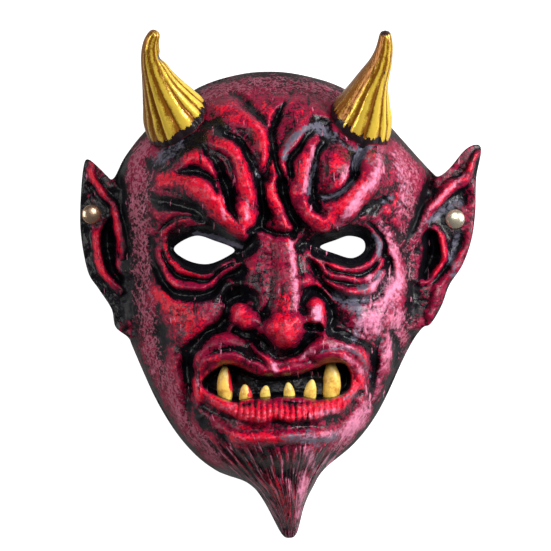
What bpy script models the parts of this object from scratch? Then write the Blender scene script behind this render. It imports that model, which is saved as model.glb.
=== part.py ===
"""A latex devil mask: a thin hollow casting of a horned, scowling face with pointed ears and a
pointed beard, two horns pushed into its forehead and a rivet through each ear.

The mask lies face up on its back rim. +Z comes out of the face, +Y points to the horns and +X
to the viewer's right. Left and right are the viewer's.
"""

import math

import bmesh
import bpy
import numpy as np
from mathutils import Vector

# Driving sizes, in metres
MASK_HEIGHT = 0.244
LATEX_WALL = 0.0022
FIT_GAP = 0.0003
HORN_ROOT = 0.0026
RIVET_HEAD_D = 0.0096
RIVET_HEAD_RISE = 0.0021
RIVET_BACK_D = 0.0088
RIVET_BACK_T = 0.0011
RIVET_SHANK_D = 0.0036
SEAT_MARGIN = 0.0019

# The carving is drawn in shares of the mask's own height: this many rows from the beard's tip
# to the horns' tips, with x and y counted from the middle of the face.
CARVING_ROWS = 508
UNIT = MASK_HEIGHT / CARVING_ROWS

# Sheet cells across and along the face, outside and inside
SKIN_CELLS = (50, 57)
LINING_CELLS = (26, 30)
FIELD_X = (-216.0, 216.0)
FIELD_Y = (-266.0, 226.0)
CELL_EASE = 0.16
RASTER_STEP = 2.0
SKIN_SMOOTHING = 4
LINING_SMOOTHING = 9
LINING_MARGIN = 2

# The edge of the sheet, clockwise from the top: down the right side, round the beard's tip and
# up the left side, with both ears.
OUTLINE = [
    (-3, 214), (34, 208), (62, 198), (89, 181), (121, 147), (137, 129), (152, 113), (158, 109),
    (169, 117), (185, 136), (197, 141), (201, 134), (196, 107), (195, 73), (191, 45), (182, 20),
    (169, 0), (161, -21), (150, -39), (141, -44), (126, -68), (99, -125), (74, -159), (44, -184),
    (32, -203), (23, -223), (16, -249), (8, -254), (0, -249), (-15, -221), (-26, -205),
    (-38, -196), (-66, -186), (-97, -159), (-124, -118), (-148, -65), (-153, -53), (-166, -42),
    (-170, -24), (-183, -4), (-194, 14), (-201, 52), (-201, 89), (-198, 120), (-193, 126),
    (-181, 116), (-175, 110), (-168, 107), (-156, 130), (-132, 159), (-89, 195), (-45, 211),
]

# The head alone, without ears: (row, left edge, right edge)
HEAD_EDGES = [
    (-254, -2, 18), (-236, -7, 21), (-221, -15, 23), (-205, -26, 32), (-192, -53, 40),
    (-180, -76, 52), (-159, -97, 74), (-130, -116, 96), (-95, -135, 112), (-60, -150, 130),
    (-30, -153, 138), (0, -153, 139), (40, -158, 143), (80, -163, 150), (115, -162, 149),
    (146, -144, 122), (168, -124, 104), (185, -104, 84), (199, -80, 60), (208, -54, 34),
    (216, -28, 10),
]

# Height of the plain face above the back rim along its middle: (row, height)
FACE_PROFILE = [
    (-254, 16), (-236, 34), (-215, 56), (-195, 76), (-170, 100), (-145, 116), (-110, 112),
    (-75, 108), (-40, 102), (0, 102), (40, 106), (70, 114), (100, 122), (135, 116), (165, 96),
    (190, 70), (206, 42), (216, 18),
]
SIDE_ROUNDING = (2.6, 0.55)
RIM_LIP = 9.0
RIM_BLEND = 6.0

# Each ear is a flat flap: its height where it leaves the head, its fall outwards, the notch
# above it and the row of its lobe, as (height, fall, notch x, notch row, lobe row)
EARS = {-1: (33.0, 0.24, 168.0, 107.0, -52.0), 1: (33.0, 0.24, 158.0, 109.0, -43.0)}
EAR_FROM_X = 110
EAR_BLEND = 9.0
EAR_CLEAR = 9.0
EAR_MARGIN = 4
NOTCH_STEEPNESS = 3.0
HOLLOW_FROM_ROW = -228
NOTCH_NORMAL = (0.87, 0.50)
EAR_ROOT_X = 148.0

EYE_HOLES = {
    "left": [(-107, 37), (-86, 49), (-66, 44), (-47, 36), (-53, 29), (-73, 21), (-94, 25)],
    "right": [(39, 38), (55, 45), (68, 49), (82, 45), (83, 34), (71, 27), (55, 31)],
}

MOUTH = [
    (-81, -95), (-63, -79), (-50, -77), (-31, -84), (-14, -89), (14, -87), (33, -81), (48, -75),
    (65, -77), (72, -90), (68, -108), (39, -117), (14, -114), (-31, -116), (-46, -119), (-73, -109),
]
MOUTH_DEPTH = 30.0
MOUTH_WALL = 9.0

# Rounded forms that stand on the plain face: (path, half widths, heights)
FORM_FULLNESS = (2.6, 1.1)
FORMS = [
    ([(3, 74), (4, 40), (6, 10), (4, -20), (4, -42)], (12, 15, 17, 21, 26), (0, 12, 22, 33, 41)),
    ([(-6, -42), (4, -45), (14, -42)], (21, 24, 21), (36, 42, 36)),
    ([(-42, -30), (-32, -34)], (17, 17), (26, 26)),
    ([(34, -26), (36, -32)], (17, 18), (27, 27)),
    ([(-112, 84), (-78, 84), (-42, 62)], (24, 26, 20), (6, 13, 12)),
    ([(40, 66), (72, 86), (92, 110)], (20, 26, 22), (12, 13, 8)),
    ([(-118, -16), (-92, -30)], (34, 34), (12, 14)),
    ([(84, -28), (104, -14)], (32, 32), (14, 12)),
    ([(-74, -66), (-44, -56)], (24, 24), (12, 14)),
    ([(42, -54), (72, -66)], (24, 24), (14, 12)),
    ([(-30, -152), (8, -156), (38, -150)], (24, 30, 24), (8, 14, 8)),
]

# Folds that stand proud of the forms: (path, half widths, heights)
RIDGES = [
    ([(-52, 174), (-33, 153), (-22, 138), (-14, 119)], (9, 10, 9), (3, 8, 5)),
    ([(-66, 143), (-52, 134), (-43, 119), (-34, 96), (-29, 84), (-34, 70), (-36, 58)],
     (10, 11, 11, 10), (5, 12, 13, 9)),
    ([(-122, 105), (-98, 105), (-86, 96), (-75, 84), (-59, 68), (-47, 55), (-38, 55)],
     (8, 11, 11, 11, 9), (4, 10, 12, 13, 9)),
    ([(-104, 117), (-83, 130), (-71, 121), (-61, 106)], (8, 9, 8), (4, 8, 4)),
    ([(-122, 72), (-110, 66), (-88, 66)], (7, 7), (4, 6)),
    ([(26, 164), (14, 145), (4, 122)], (9, 10, 8), (5, 9, 5)),
    ([(29, 148), (33, 122), (24, 104), (19, 86), (27, 75), (42, 62), (52, 57)],
     (9, 10, 10, 9), (6, 11, 12, 9)),
    ([(46, 128), (57, 115)], (14, 14), (8, 8)),
    ([(48, 64), (70, 80), (84, 100), (89, 122), (92, 142)], (10, 13, 13, 11), (7, 12, 12, 6)),
    ([(84, 66), (100, 66)], (6, 6), (4, 4)),
    ([(-6, 98), (-9, 80), (0, 64)], (6, 7, 6), (4, 7, 5)),
    ([(-119, 33), (-110, 22), (-90, 10), (-69, 12), (-48, 26)], (6, 7, 6), (7, 11, 7)),
    ([(-125, 20), (-112, 5), (-90, -3), (-66, 3), (-44, 18)], (6, 8, 6), (5, 9, 5)),
    ([(24, 37), (44, 23), (66, 14), (84, 18), (95, 30)], (6, 7, 6), (6, 10, 7)),
    ([(38, 17), (55, 6), (74, 0), (90, 4), (101, 22)], (6, 8, 6), (5, 8, 5)),
    ([(16, 6), (38, 3)], (6, 6), (4, 5)),
    ([(-84, -93), (-64, -74), (-50, -70), (-30, -77), (-12, -82), (14, -80), (33, -74),
      (48, -68), (67, -70), (77, -88)], (8, 9, 8, 8, 9, 8), (8, 11, 8, 8, 11, 8)),
    ([(-76, -108), (-56, -126), (-25, -130), (6, -126), (40, -128), (66, -116), (74, -100)],
     (9, 12, 12, 12, 9), (8, 15, 15, 15, 8)),
    ([(-104, -78), (-104, -104), (-98, -134)], (9, 10, 8), (6, 9, 4)),
    ([(104, -78), (102, -104), (92, -126)], (9, 10, 8), (6, 9, 4)),
    ([(-5, -168), (2, -200), (8, -238)], (8, 9, 7), (8, 12, 7)),
    ([(-191, 119), (-183, 101), (-172, 84), (-166, 66), (-162, 45), (-158, 28)],
     (6, 8, 7), (8, 10, 8)),
    ([(-179, 60), (-185, 48), (-186, 30), (-181, 14), (-170, 2), (-160, -8)],
     (6, 8, 7), (4, 9, 7)),
    ([(196, 134), (183, 107), (170, 94), (151, 76), (141, 58), (133, 36)], (6, 8, 7), (8, 10, 8)),
    ([(191, 84), (189, 50), (180, 18), (167, 6), (156, -14), (147, -30)], (6, 8, 6), (5, 9, 6)),
]

# Folds and hollows cut into the forms: (path, half widths, depths)
GROOVES = [
    ([(-44, 189), (-15, 152)], (6, 6), (5, 8)),
    ([(9, 187), (-13, 152)], (6, 6), (5, 8)),
    ([(-14, 154), (-9, 125), (-6, 88)], (7, 8, 7), (10, 15, 11)),
    ([(-24, 56), (12, 55)], (7, 7), (8, 8)),
    ([(-50, 150), (-38, 129), (-24, 100), (-22, 88)], (6, 7, 7), (5, 11, 11)),
    ([(-68, 128), (-59, 100), (-51, 74)], (8, 10, 8), (8, 14, 13)),
    ([(-100, 115), (-80, 107), (-69, 94), (-61, 84)], (6, 6, 6), (4, 9, 10)),
    ([(-126, 84), (-90, 66)], (6, 6), (4, 7)),
    ([(31, 160), (15, 130), (0, 108)], (6, 7, 6), (6, 11, 9)),
    ([(37, 86), (55, 92), (68, 106), (76, 128)], (7, 8, 7), (10, 12, 8)),
    ([(44, 148), (48, 154)], (12, 12), (9, 9)),
    ([(80, 70), (100, 86)], (5, 5), (5, 5)),
    ([(-100, 36), (-58, 38)], (22, 22), (20, 20)),
    ([(44, 38), (82, 40)], (19, 20), (17, 19)),
    ([(-30, 40), (-46, 32)], (12, 12), (10, 14)),
    ([(22, 40), (38, 34)], (12, 12), (9, 13)),
    ([(-131, 40), (-124, 14), (-110, -8), (-90, -16), (-58, -8), (-36, 14)],
     (7, 8, 8, 8), (6, 9, 10, 8)),
    ([(30, 20), (46, 2), (66, -10), (86, -12), (104, 4)], (7, 8, 8), (8, 9, 7)),
    ([(-44, -8), (-30, -16), (-22, -22)], (8, 8), (11, 9)),
    ([(22, -10), (34, -8), (48, -16)], (8, 8), (9, 10)),
    ([(-54, -36), (-71, -52), (-88, -65), (-93, -82), (-92, -105), (-93, -131)],
     (8, 10, 9, 8), (10, 14, 13, 7)),
    ([(50, -38), (71, -52), (88, -66), (92, -82), (90, -100), (88, -118)],
     (8, 10, 9, 8), (10, 14, 13, 7)),
    ([(-26, -56), (-4, -70), (24, -62)], (9, 9, 9), (9, 12, 9)),
    ([(-66, -138), (-44, -147), (-19, -148), (6, -142), (39, -145), (60, -136)],
     (7, 8, 7), (8, 10, 8)),
    ([(-126, -50), (-122, -74)], (10, 10), (7, 7)),
    ([(-172, 62), (-173, 34), (-168, 6)], (9, 12, 9), (11, 16, 10)),
    ([(154, 52), (152, 26), (150, 4)], (9, 12, 9), (10, 16, 12)),
]

# The hollow keeps this far under the steep foot of the nose: (path, half widths, depths)
NOSE_FOOT = ([(-38, -46), (-20, -56), (4, -66), (24, -58), (38, -44)], (20, 20), (10, 10))

# Strands of the beard run from this arch of roots to its tip
STRANDS = 8
STRAND_ROOTS = ((-66, -160), (8, -146), (60, -156))
STRAND_TIP = (8, -246)
STRAND_HALF_WIDTHS = (5, 5, 3)
STRAND_HEIGHTS = (0, 7, 5)
STRAND_BOW = 0.62

# Teeth stand up out of the lower lip: (base x, base row, tip x, tip row, width)
TEETH = {
    "fang_left": (-54, -120, -56, -80, 16),
    "peg_left": (-37, -117, -37, -100, 12),
    "peg_mid_left": (-14, -117, -14, -101, 11),
    "peg_middle": (7, -118, 7, -99, 11),
    "peg_right": (30, -118, 30, -96, 12),
    "fang_right": (49, -121, 50, -76, 19),
}
TOOTH_ROW = -103.0
TOOTH_BACK = 8.0
TOOTH_LEAN = 7.0
TOOTH_TAPER = 0.42
TOOTH_DETAIL = (10, 6)

# Centre lines of the horns from inside the head to the tip: (x, row, height)
HORN_LINES = {
    "left": [(-95, 146, 44), (-103, 163, 62), (-114, 186, 84), (-123, 207, 102),
             (-129, 227, 116), (-129, 241, 124), (-124, 253, 130)],
    "right": [(70, 141, 44), (76, 157, 62), (83, 180, 84), (90, 201, 102), (99, 221, 116),
              (103, 237, 124), (103.5, 253, 130)],
}
HORN_GIRTH = [(0.0, 34.5), (0.22, 32.5), (0.42, 24.0), (0.62, 15.5), (0.82, 9.6), (0.95, 6.0),
              (1.0, 3.4)]
HORN_FLUTES = 6
HORN_FLUTE_DEPTH = 0.075
HORN_TWIST = 0.9
HORN_END_SHARES = (0.05, 0.97)
HORN_TIP_RISE = 1.2
HORN_DETAIL = (24, 10)

RIVETS = {"left": (-190.0, 71.0), "right": (174.5, 66.0)}
SEAT_RISE = 1.6
SEAT_APRON = 18
SEAT_FADE = 8
RIVET_SIDES = 14

COLOURS = {
    "latex_red": ((0.34, 0.02, 0.04, 1.0), 0.38, 0.0),
    "horn_gold": ((0.78, 0.50, 0.10, 1.0), 0.35, 0.6),
    "rivet_brass": ((0.72, 0.56, 0.34, 1.0), 0.30, 1.0),
}


def eased(at, knots, levels):
    """Heights of a smooth curve through (knot, level) pairs, level beyond its ends."""
    knots, levels = np.asarray(knots, float), np.asarray(levels, float)
    slopes = np.gradient(levels, knots)
    at = np.clip(at, knots[0], knots[-1])
    low = np.clip(np.searchsorted(knots, at) - 1, 0, len(knots) - 2)
    span = knots[low + 1] - knots[low]
    t = (at - knots[low]) / span
    return (
        levels[low] * (1 + 2 * t) * (1 - t) ** 2
        + slopes[low] * span * t * (1 - t) ** 2
        + levels[low + 1] * t * t * (3 - 2 * t)
        + slopes[low + 1] * span * t * t * (t - 1)
    )


def spline(points, steps, closed=False):
    """A smooth line through the points, each stretch cut into so many steps."""
    points = np.asarray(points, float)
    count = len(points)
    line = []
    for i in range(count if closed else count - 1):
        if closed:
            a, b, c, d = (points[(i + k) % count] for k in (-1, 0, 1, 2))
        else:
            a, b, c, d = (points[min(max(i + k, 0), count - 1)] for k in (-1, 0, 1, 2))
        for t in np.arange(steps) / steps:
            line.append(
                0.5 * (2 * b + (c - a) * t + (2 * a - 5 * b + 4 * c - d) * t**2
                       + (3 * b - a - 3 * c + d) * t**3)
            )
    if not closed:
        line.append(points[-1])
    return np.array(line)


def nearest(line, x, y, closed=False):
    """The distance to a line, and how far along it the nearest point is, from 0 to 1."""
    starts = line if closed else line[:-1]
    ends = np.roll(line, -1, axis=0) if closed else line[1:]
    lengths = np.hypot(*(ends - starts).T)
    before = np.concatenate([[0.0], np.cumsum(lengths)])
    best = np.full(x.shape, np.inf)
    along = np.zeros(x.shape)
    for (sx, sy), (ex, ey), length, start in zip(starts, ends, lengths, before):
        dx, dy = ex - sx, ey - sy
        t = np.clip(((x - sx) * dx + (y - sy) * dy) / max(length**2, 1e-9), 0, 1)
        gap = np.hypot(x - sx - t * dx, y - sy - t * dy)
        nearer = gap < best
        best = np.where(nearer, gap, best)
        along = np.where(nearer, (start + t * length) / before[-1], along)
    return best, along


def depth_inside(ring, x, y):
    """The distance to a closed ring, above zero inside it and below zero outside it."""
    inside = np.zeros(x.shape, bool)
    for (sx, sy), (ex, ey) in zip(ring, np.roll(ring, -1, axis=0)):
        if sy == ey:
            continue
        crosses = (sy > y) != (ey > y)
        inside ^= crosses & (x < (ex - sx) * (y - sy) / (ey - sy) + sx)
    gap, _ = nearest(ring, x, y, closed=True)
    return np.where(inside, gap, -gap)


def bead(path, half_widths, heights, x, y, fullness):
    """A rounded bead along a smooth path, zero beyond its half width."""
    line = spline(path, 5)
    reach = max(half_widths)
    low, high = line.min(axis=0) - reach, line.max(axis=0) + reach
    near = (x > low[0]) & (x < high[0]) & (y > low[1]) & (y < high[1])
    bump = np.zeros(x.shape)
    gap, along = nearest(line, x[near], y[near])
    width = np.interp(along, np.linspace(0, 1, len(half_widths)), half_widths)
    height = np.interp(along, np.linspace(0, 1, len(heights)), heights)
    bulge, foot = fullness
    bump[near] = height * (1 - np.minimum(gap / width, 1) ** bulge) ** foot
    return bump


def blended(beads, x, y, fullness=(2.0, 1.5), sharpness=3.0):
    """Beads laid over each other so that they merge and don't pile up."""
    total = np.zeros(x.shape)
    for path, half_widths, heights in beads:
        total += bead(path, half_widths, heights, x, y, fullness) ** sharpness
    return total ** (1 / sharpness)


def soft_max(a, b, reach):
    """The higher of two surfaces, with a fillet of about the given reach between them."""
    overlap = np.clip(0.5 + 0.5 * (a - b) / reach, 0, 1)
    return a * overlap + b * (1 - overlap) + reach * overlap * (1 - overlap)


def beard_strands():
    roots = spline(STRAND_ROOTS, 12)
    tip = np.array(STRAND_TIP, float)
    strands = []
    for place in (np.arange(STRANDS) + 0.5) / STRANDS:
        root = roots[int(place * (len(roots) - 1))]
        bow = np.array([(root[0] - tip[0]) * STRAND_BOW + tip[0],
                        root[1] * STRAND_BOW + tip[1] * (1 - STRAND_BOW)])
        strands.append(([root, bow, tip], STRAND_HALF_WIDTHS, STRAND_HEIGHTS))
    return strands


def off_ear(side, x, y):
    """How far a place lies past the notch above an ear or below its lobe, zero on the ear."""
    _, _, notch_x, notch_row, lobe_row = EARS[side]
    past_notch = (notch_x - side * x) * NOTCH_NORMAL[0] + (y - notch_row) * NOTCH_NORMAL[1]
    return np.maximum(np.maximum(past_notch, lobe_row - y), 0)


def seat_height(side):
    """Height of the flat on an ear on which its rivet's head sits."""
    height, fall = EARS[side][:2]
    x, _ = RIVETS["left" if side < 0 else "right"]
    return height - fall * (abs(x) - EAR_ROOT_X) + SEAT_RISE


def near_rivet(x, y):
    """One close to a rivet, falling to zero a little way off."""
    reach = (RIVET_HEAD_D / 2 + SEAT_MARGIN) / UNIT
    near = np.zeros(x.shape)
    for px, py in RIVETS.values():
        gap = np.hypot(x - px, y - py)
        near = np.maximum(near, np.clip((reach + SEAT_APRON - gap) / SEAT_FADE, 0, 1))
    return near


def plain_form(x, y):
    """The head's dome with its big forms and the flat of each ear, without folds."""
    rows, left, right = np.array(HEAD_EDGES, float).T
    left_edge, right_edge = eased(y, rows, left), eased(y, rows, right)
    across = np.abs(2 * x - left_edge - right_edge) / (right_edge - left_edge)
    bulge, shoulder = SIDE_ROUNDING
    arch = (1 - np.minimum(across, 1) ** bulge) ** shoulder
    dome = eased(y, *np.array(FACE_PROFILE, float).T) * arch
    head = dome + blended(FORMS, x, y, FORM_FULLNESS)
    head = soft_max(head, np.full(x.shape, RIM_LIP), RIM_BLEND)
    for side, (height, fall, *_) in EARS.items():
        flap = height - fall * (side * x - EAR_ROOT_X) - NOTCH_STEEPNESS * off_ear(side, x, y)
        beside = soft_max(head, flap, EAR_BLEND)
        head = np.where(side * x > EAR_FROM_X, beside, head)
    for side, place in ((-1, "left"), (1, "right")):
        near = near_rivet(x, y) * (x * side > 0)
        head = head * (1 - near) + (seat_height(side) + SEAT_RISE * 0.5) * near
    return head


def folds(x, y):
    """Ridges and grooves, as two heights above zero, left out where a rivet is seated."""
    clear = 1 - near_rivet(x, y)
    ridges = blended(RIDGES + beard_strands(), x, y) * clear
    grooves = blended(GROOVES, x, y)
    into_mouth = np.clip(depth_inside(spline(MOUTH, 4, closed=True), x, y) / MOUTH_WALL, 0, 1)
    pocket = MOUTH_DEPTH * into_mouth * into_mouth * (3 - 2 * into_mouth)
    return ridges * (1 - into_mouth), np.maximum(grooves * clear, pocket)


def skin(x, y):
    """Height of the outer surface."""
    ridges, grooves = folds(x, y)
    return np.maximum(plain_form(x, y) + ridges - grooves, RIM_LIP)


class Relief:
    """Heights over the whole face on an even raster, read between its places."""

    def __init__(self, level):
        self.level = level

    @staticmethod
    def raster():
        xs = np.arange(FIELD_X[0], FIELD_X[1] + RASTER_STEP, RASTER_STEP)
        ys = np.arange(FIELD_Y[0], FIELD_Y[1] + RASTER_STEP, RASTER_STEP)
        return np.meshgrid(xs, ys)

    def height(self, x, y):
        rows, columns = self.level.shape
        column = np.clip((x - FIELD_X[0]) / RASTER_STEP, 0, columns - 1.001)
        row = np.clip((y - FIELD_Y[0]) / RASTER_STEP, 0, rows - 1.001)
        c, r = column.astype(int), row.astype(int)
        tc, tr = column - c, row - r
        low = self.level[r, c] * (1 - tc) + self.level[r, c + 1] * tc
        high = self.level[r + 1, c] * (1 - tc) + self.level[r + 1, c + 1] * tc
        return low * (1 - tr) + high * tr


def shifted(level, dx, dy):
    edge = 8
    padded = np.pad(level, edge, mode="edge")
    rows, columns = level.shape
    return padded[edge + dy:edge + dy + rows, edge + dx:edge + dx + columns]


def smoothed(level, passes):
    """Heights averaged over about one cell of the sheet, which is as fine as it can follow."""
    for _ in range(passes):
        level = sum(shifted(level, dx, dy) for dx in (-1, 0, 1) for dy in (-1, 0, 1)) / 9
    return level


def shrunk(level):
    """The surface that a ball of the wall's thickness, rolled under the form, leaves."""
    wall = LATEX_WALL / UNIT
    reach = int(wall / RASTER_STEP) + 1
    lowest = np.full(level.shape, np.inf)
    for dx in range(-reach, reach + 1):
        for dy in range(-reach, reach + 1):
            spare = wall**2 - (dx**2 + dy**2) * RASTER_STEP**2
            if spare >= 0:
                lowest = np.minimum(lowest, shifted(level, dx, dy) - math.sqrt(spare))
    return lowest


def spread(level, steps):
    """Each height raised to the highest within so many raster steps."""
    highest = level
    for dx in range(-steps, steps + 1, 2):
        for dy in range(-steps, steps + 1, 2):
            highest = np.maximum(highest, shifted(level, dx, dy))
    return highest


def skin_relief():
    x, y = Relief.raster()
    return Relief(smoothed(skin(x, y), SKIN_SMOOTHING))


def lining_relief(outer):
    """The inner surface: the form without folds, shrunk by the wall and clear of every groove."""
    x, y = Relief.raster()
    _, grooves = folds(x, y)
    grooves = grooves + bead(*NOSE_FOOT, x, y, FORM_FULLNESS)
    inner = smoothed(shrunk(plain_form(x, y)) - spread(grooves, LINING_MARGIN), LINING_SMOOTHING)
    inner = np.minimum(inner, shrunk(outer.level))
    under_ear = np.clip((abs(x) - EAR_ROOT_X) / EAR_BLEND, 0, 1)
    inner -= under_ear * (inner + spread(-inner, EAR_MARGIN))
    return Relief(inner - SEAT_RISE * near_rivet(x, y))


def cavity_ring():
    """The hollow's edge: a wall's width inside the head, and past the free edge of each ear.

    The beard's last stretch is too narrow for a hollow and stays solid.
    """
    ring = spline(OUTLINE, 3, closed=True)
    travel = np.roll(ring, -1, axis=0) - np.roll(ring, 1, axis=0)
    travel /= np.hypot(*travel.T)[:, None]
    outward = np.column_stack([-travel[:, 1], travel[:, 0]])
    x, y = ring.T
    on_ear = (off_ear(-1, x, y) * (x < 0) + off_ear(1, x, y) * (x > 0) == 0) & (abs(x) > EAR_FROM_X)
    inset = np.where(on_ear, EAR_CLEAR, -LATEX_WALL / UNIT)
    return (ring + outward * inset[:, None])[y > HOLLOW_FROM_ROW]


def material(name):
    colour, roughness, metallic = COLOURS[name]
    made = bpy.data.materials.new(name)
    made.use_nodes = True
    shader = made.node_tree.nodes["Principled BSDF"]
    shader.inputs["Base Color"].default_value = colour
    shader.inputs["Roughness"].default_value = roughness
    shader.inputs["Metallic"].default_value = metallic
    made.diffuse_color = colour
    return made


def as_object(bm, name, collection, finish=None):
    bmesh.ops.triangulate(bm, faces=bm.faces, quad_method="SHORT_EDGE")
    bmesh.ops.recalc_face_normals(bm, faces=bm.faces)
    if bm.calc_volume(signed=True) < 0:
        bmesh.ops.reverse_faces(bm, faces=bm.faces)
    mesh = bpy.data.meshes.new(name)
    bm.to_mesh(mesh)
    bm.free()
    made = bpy.data.objects.new(name, mesh)
    collection.objects.link(made)
    if finish:
        mesh.materials.append(finish)
    else:
        made.hide_render = True
        made.display_type = "WIRE"
    return made


def slab(height, cells, floor):
    """A block whose top is a height over x and y, on a flat floor, with finer middle cells."""
    bm = bmesh.new()
    bmesh.ops.create_grid(bm, x_segments=cells[0], y_segments=cells[1], size=1.0)
    place = np.array([v.co[:2] for v in bm.verts])
    place = place * (1 - CELL_EASE + CELL_EASE * place**2)
    x = np.interp(place[:, 0], (-1, 1), FIELD_X)
    y = np.interp(place[:, 1], (-1, 1), FIELD_Y)
    for vertex, vx, vy, vz in zip(bm.verts, x, y, height(x, y)):
        vertex.co = (vx * UNIT, vy * UNIT, max(vz * UNIT, floor / 2))
    rim = [edge for edge in bm.edges if edge.is_boundary]
    wall = bmesh.ops.extrude_edge_only(bm, edges=rim)["geom"]
    for vertex in (part for part in wall if isinstance(part, bmesh.types.BMVert)):
        vertex.co.z = floor
    bmesh.ops.contextual_create(bm, geom=[edge for edge in bm.edges if edge.is_boundary])
    return bm


def prism(ring, low, high):
    """A closed ring in carving shares, drawn up from one height in metres to another."""
    bm = bmesh.new()
    corners = [bm.verts.new((x * UNIT, y * UNIT, low)) for x, y in ring]
    base = bm.faces.new(corners)
    raised = bmesh.ops.extrude_face_region(bm, geom=[base])["geom"]
    tops = [part for part in raised if isinstance(part, bmesh.types.BMVert)]
    bmesh.ops.translate(bm, verts=tops, vec=(0, 0, high - low))
    return bm


def turned(profile, place, height):
    """A closed round solid from (radius, height) pairs, top to bottom, about an upright axis."""
    bm = bmesh.new()
    spots = [bm.verts.new((radius, 0.0, level)) for radius, level in profile]
    edges = [bm.edges.new(pair) for pair in zip(spots, spots[1:])]
    bmesh.ops.spin(bm, geom=spots + edges, axis=(0, 0, 1), cent=(0, 0, 0), angle=math.tau,
                   steps=RIVET_SIDES, use_merge=True)
    bmesh.ops.remove_doubles(bm, verts=bm.verts, dist=0.000001)
    bmesh.ops.translate(bm, verts=bm.verts, vec=(place[0] * UNIT, place[1] * UNIT, height))
    return bm


def tube_frame(line, share):
    """A place on a horn's centre line, and two directions square to the line there."""
    at = share * (len(line) - 1)
    low = min(int(at), len(line) - 2)
    place = Vector(line[low] + (line[low + 1] - line[low]) * (at - low))
    ahead = Vector(line[min(low + 2, len(line) - 1)] - line[max(low - 1, 0)]).normalized()
    side = ahead.cross(Vector((0, 0, 1))).normalized()
    return place, side, side.cross(ahead)


def horn(line, grow, turn):
    """A fluted horn along its centre line, grown by a clearance in metres all round."""
    around, rings = HORN_DETAIL
    centre = spline(line, 8)
    knots, radii = zip(*HORN_GIRTH)
    bm = bmesh.new()
    bmesh.ops.create_uvsphere(bm, u_segments=around, v_segments=rings, radius=1.0)
    for vertex in bm.verts:
        polar = math.acos(max(-1.0, min(1.0, vertex.co.z)))
        ring = round((1 - polar / math.pi) * rings)
        angle = math.atan2(vertex.co.y, vertex.co.x)
        share = max(ring - 1, 0) / (rings - 1)
        girth = float(eased(np.array(share), knots, radii))
        flute = 1 + HORN_FLUTE_DEPTH * math.cos(HORN_FLUTES * angle + HORN_TWIST * share + turn)
        radius = 0.0 if ring == 0 or ring == rings else girth * flute + grow / UNIT
        place, side, front = tube_frame(centre, share)
        if ring == rings:
            before = tube_frame(centre, HORN_END_SHARES[1])[0]
            place = place + (place - before).normalized() * (grow / UNIT + HORN_TIP_RISE)
        if ring == 0 and grow:
            beyond = tube_frame(centre, HORN_END_SHARES[0])[0]
            place = place - (beyond - place).normalized() * grow / UNIT
        spot = place + (side * math.cos(angle) + front * math.sin(angle)) * radius
        vertex.co = spot * UNIT
    return bm


def tooth(base_x, base_row, tip_x, tip_row, width, seat):
    """A blunt peg whose root is sunk in the lip and whose tip leans out of the mouth."""
    around, rings = TOOTH_DETAIL
    bm = bmesh.new()
    bmesh.ops.create_uvsphere(bm, u_segments=around, v_segments=rings, radius=1.0)
    for vertex in bm.verts:
        share = (vertex.co.z + 1) / 2
        taper = 1 - TOOTH_TAPER * share**1.5
        x = base_x + (tip_x - base_x) * share + vertex.co.x * width / 2 * taper
        y = base_row + (tip_row - base_row) * share
        z = seat + TOOTH_LEAN * share + vertex.co.y * width / 2 * taper
        vertex.co = (x * UNIT, y * UNIT, z * UNIT)
    return bm


def rivet_profile():
    """A domed head, a shank through the ear and a flat back cap, from the seat's height."""
    head, shank, back = RIVET_HEAD_D / 2, RIVET_SHANK_D / 2, RIVET_BACK_D / 2
    behind = -LATEX_WALL - FIT_GAP
    dome = [(head * math.sin(angle), FIT_GAP + RIVET_HEAD_RISE * math.cos(angle))
            for angle in np.radians((0, 25, 50, 72))]
    return dome + [(head, FIT_GAP + RIVET_HEAD_RISE * 0.18), (head, FIT_GAP), (shank, FIT_GAP),
                   (shank, behind), (back, behind), (back, behind - RIVET_BACK_T),
                   (0.0, behind - RIVET_BACK_T)]


def seat_profile(depth):
    """The flats that a rivet needs on both faces of an ear, and its hole between them."""
    face, hole = RIVET_HEAD_D / 2 + SEAT_MARGIN, RIVET_SHANK_D / 2 + FIT_GAP
    back = RIVET_BACK_D / 2 + SEAT_MARGIN
    return [(0.0, RIVET_HEAD_D), (face, RIVET_HEAD_D), (face, 0.0), (hole, 0.0),
            (hole, -LATEX_WALL), (back, -LATEX_WALL), (back, depth), (0.0, depth)]


def combine(target, operation, tool):
    """Cuts or joins one object, or every object of a collection in one step."""
    step = target.modifiers.new(f"{operation.lower()} {tool.name}", "BOOLEAN")
    step.operation = operation
    step.solver = "EXACT"
    if isinstance(tool, bpy.types.Collection):
        step.operand_type = "COLLECTION"
        step.collection = tool
    else:
        step.object = tool


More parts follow.
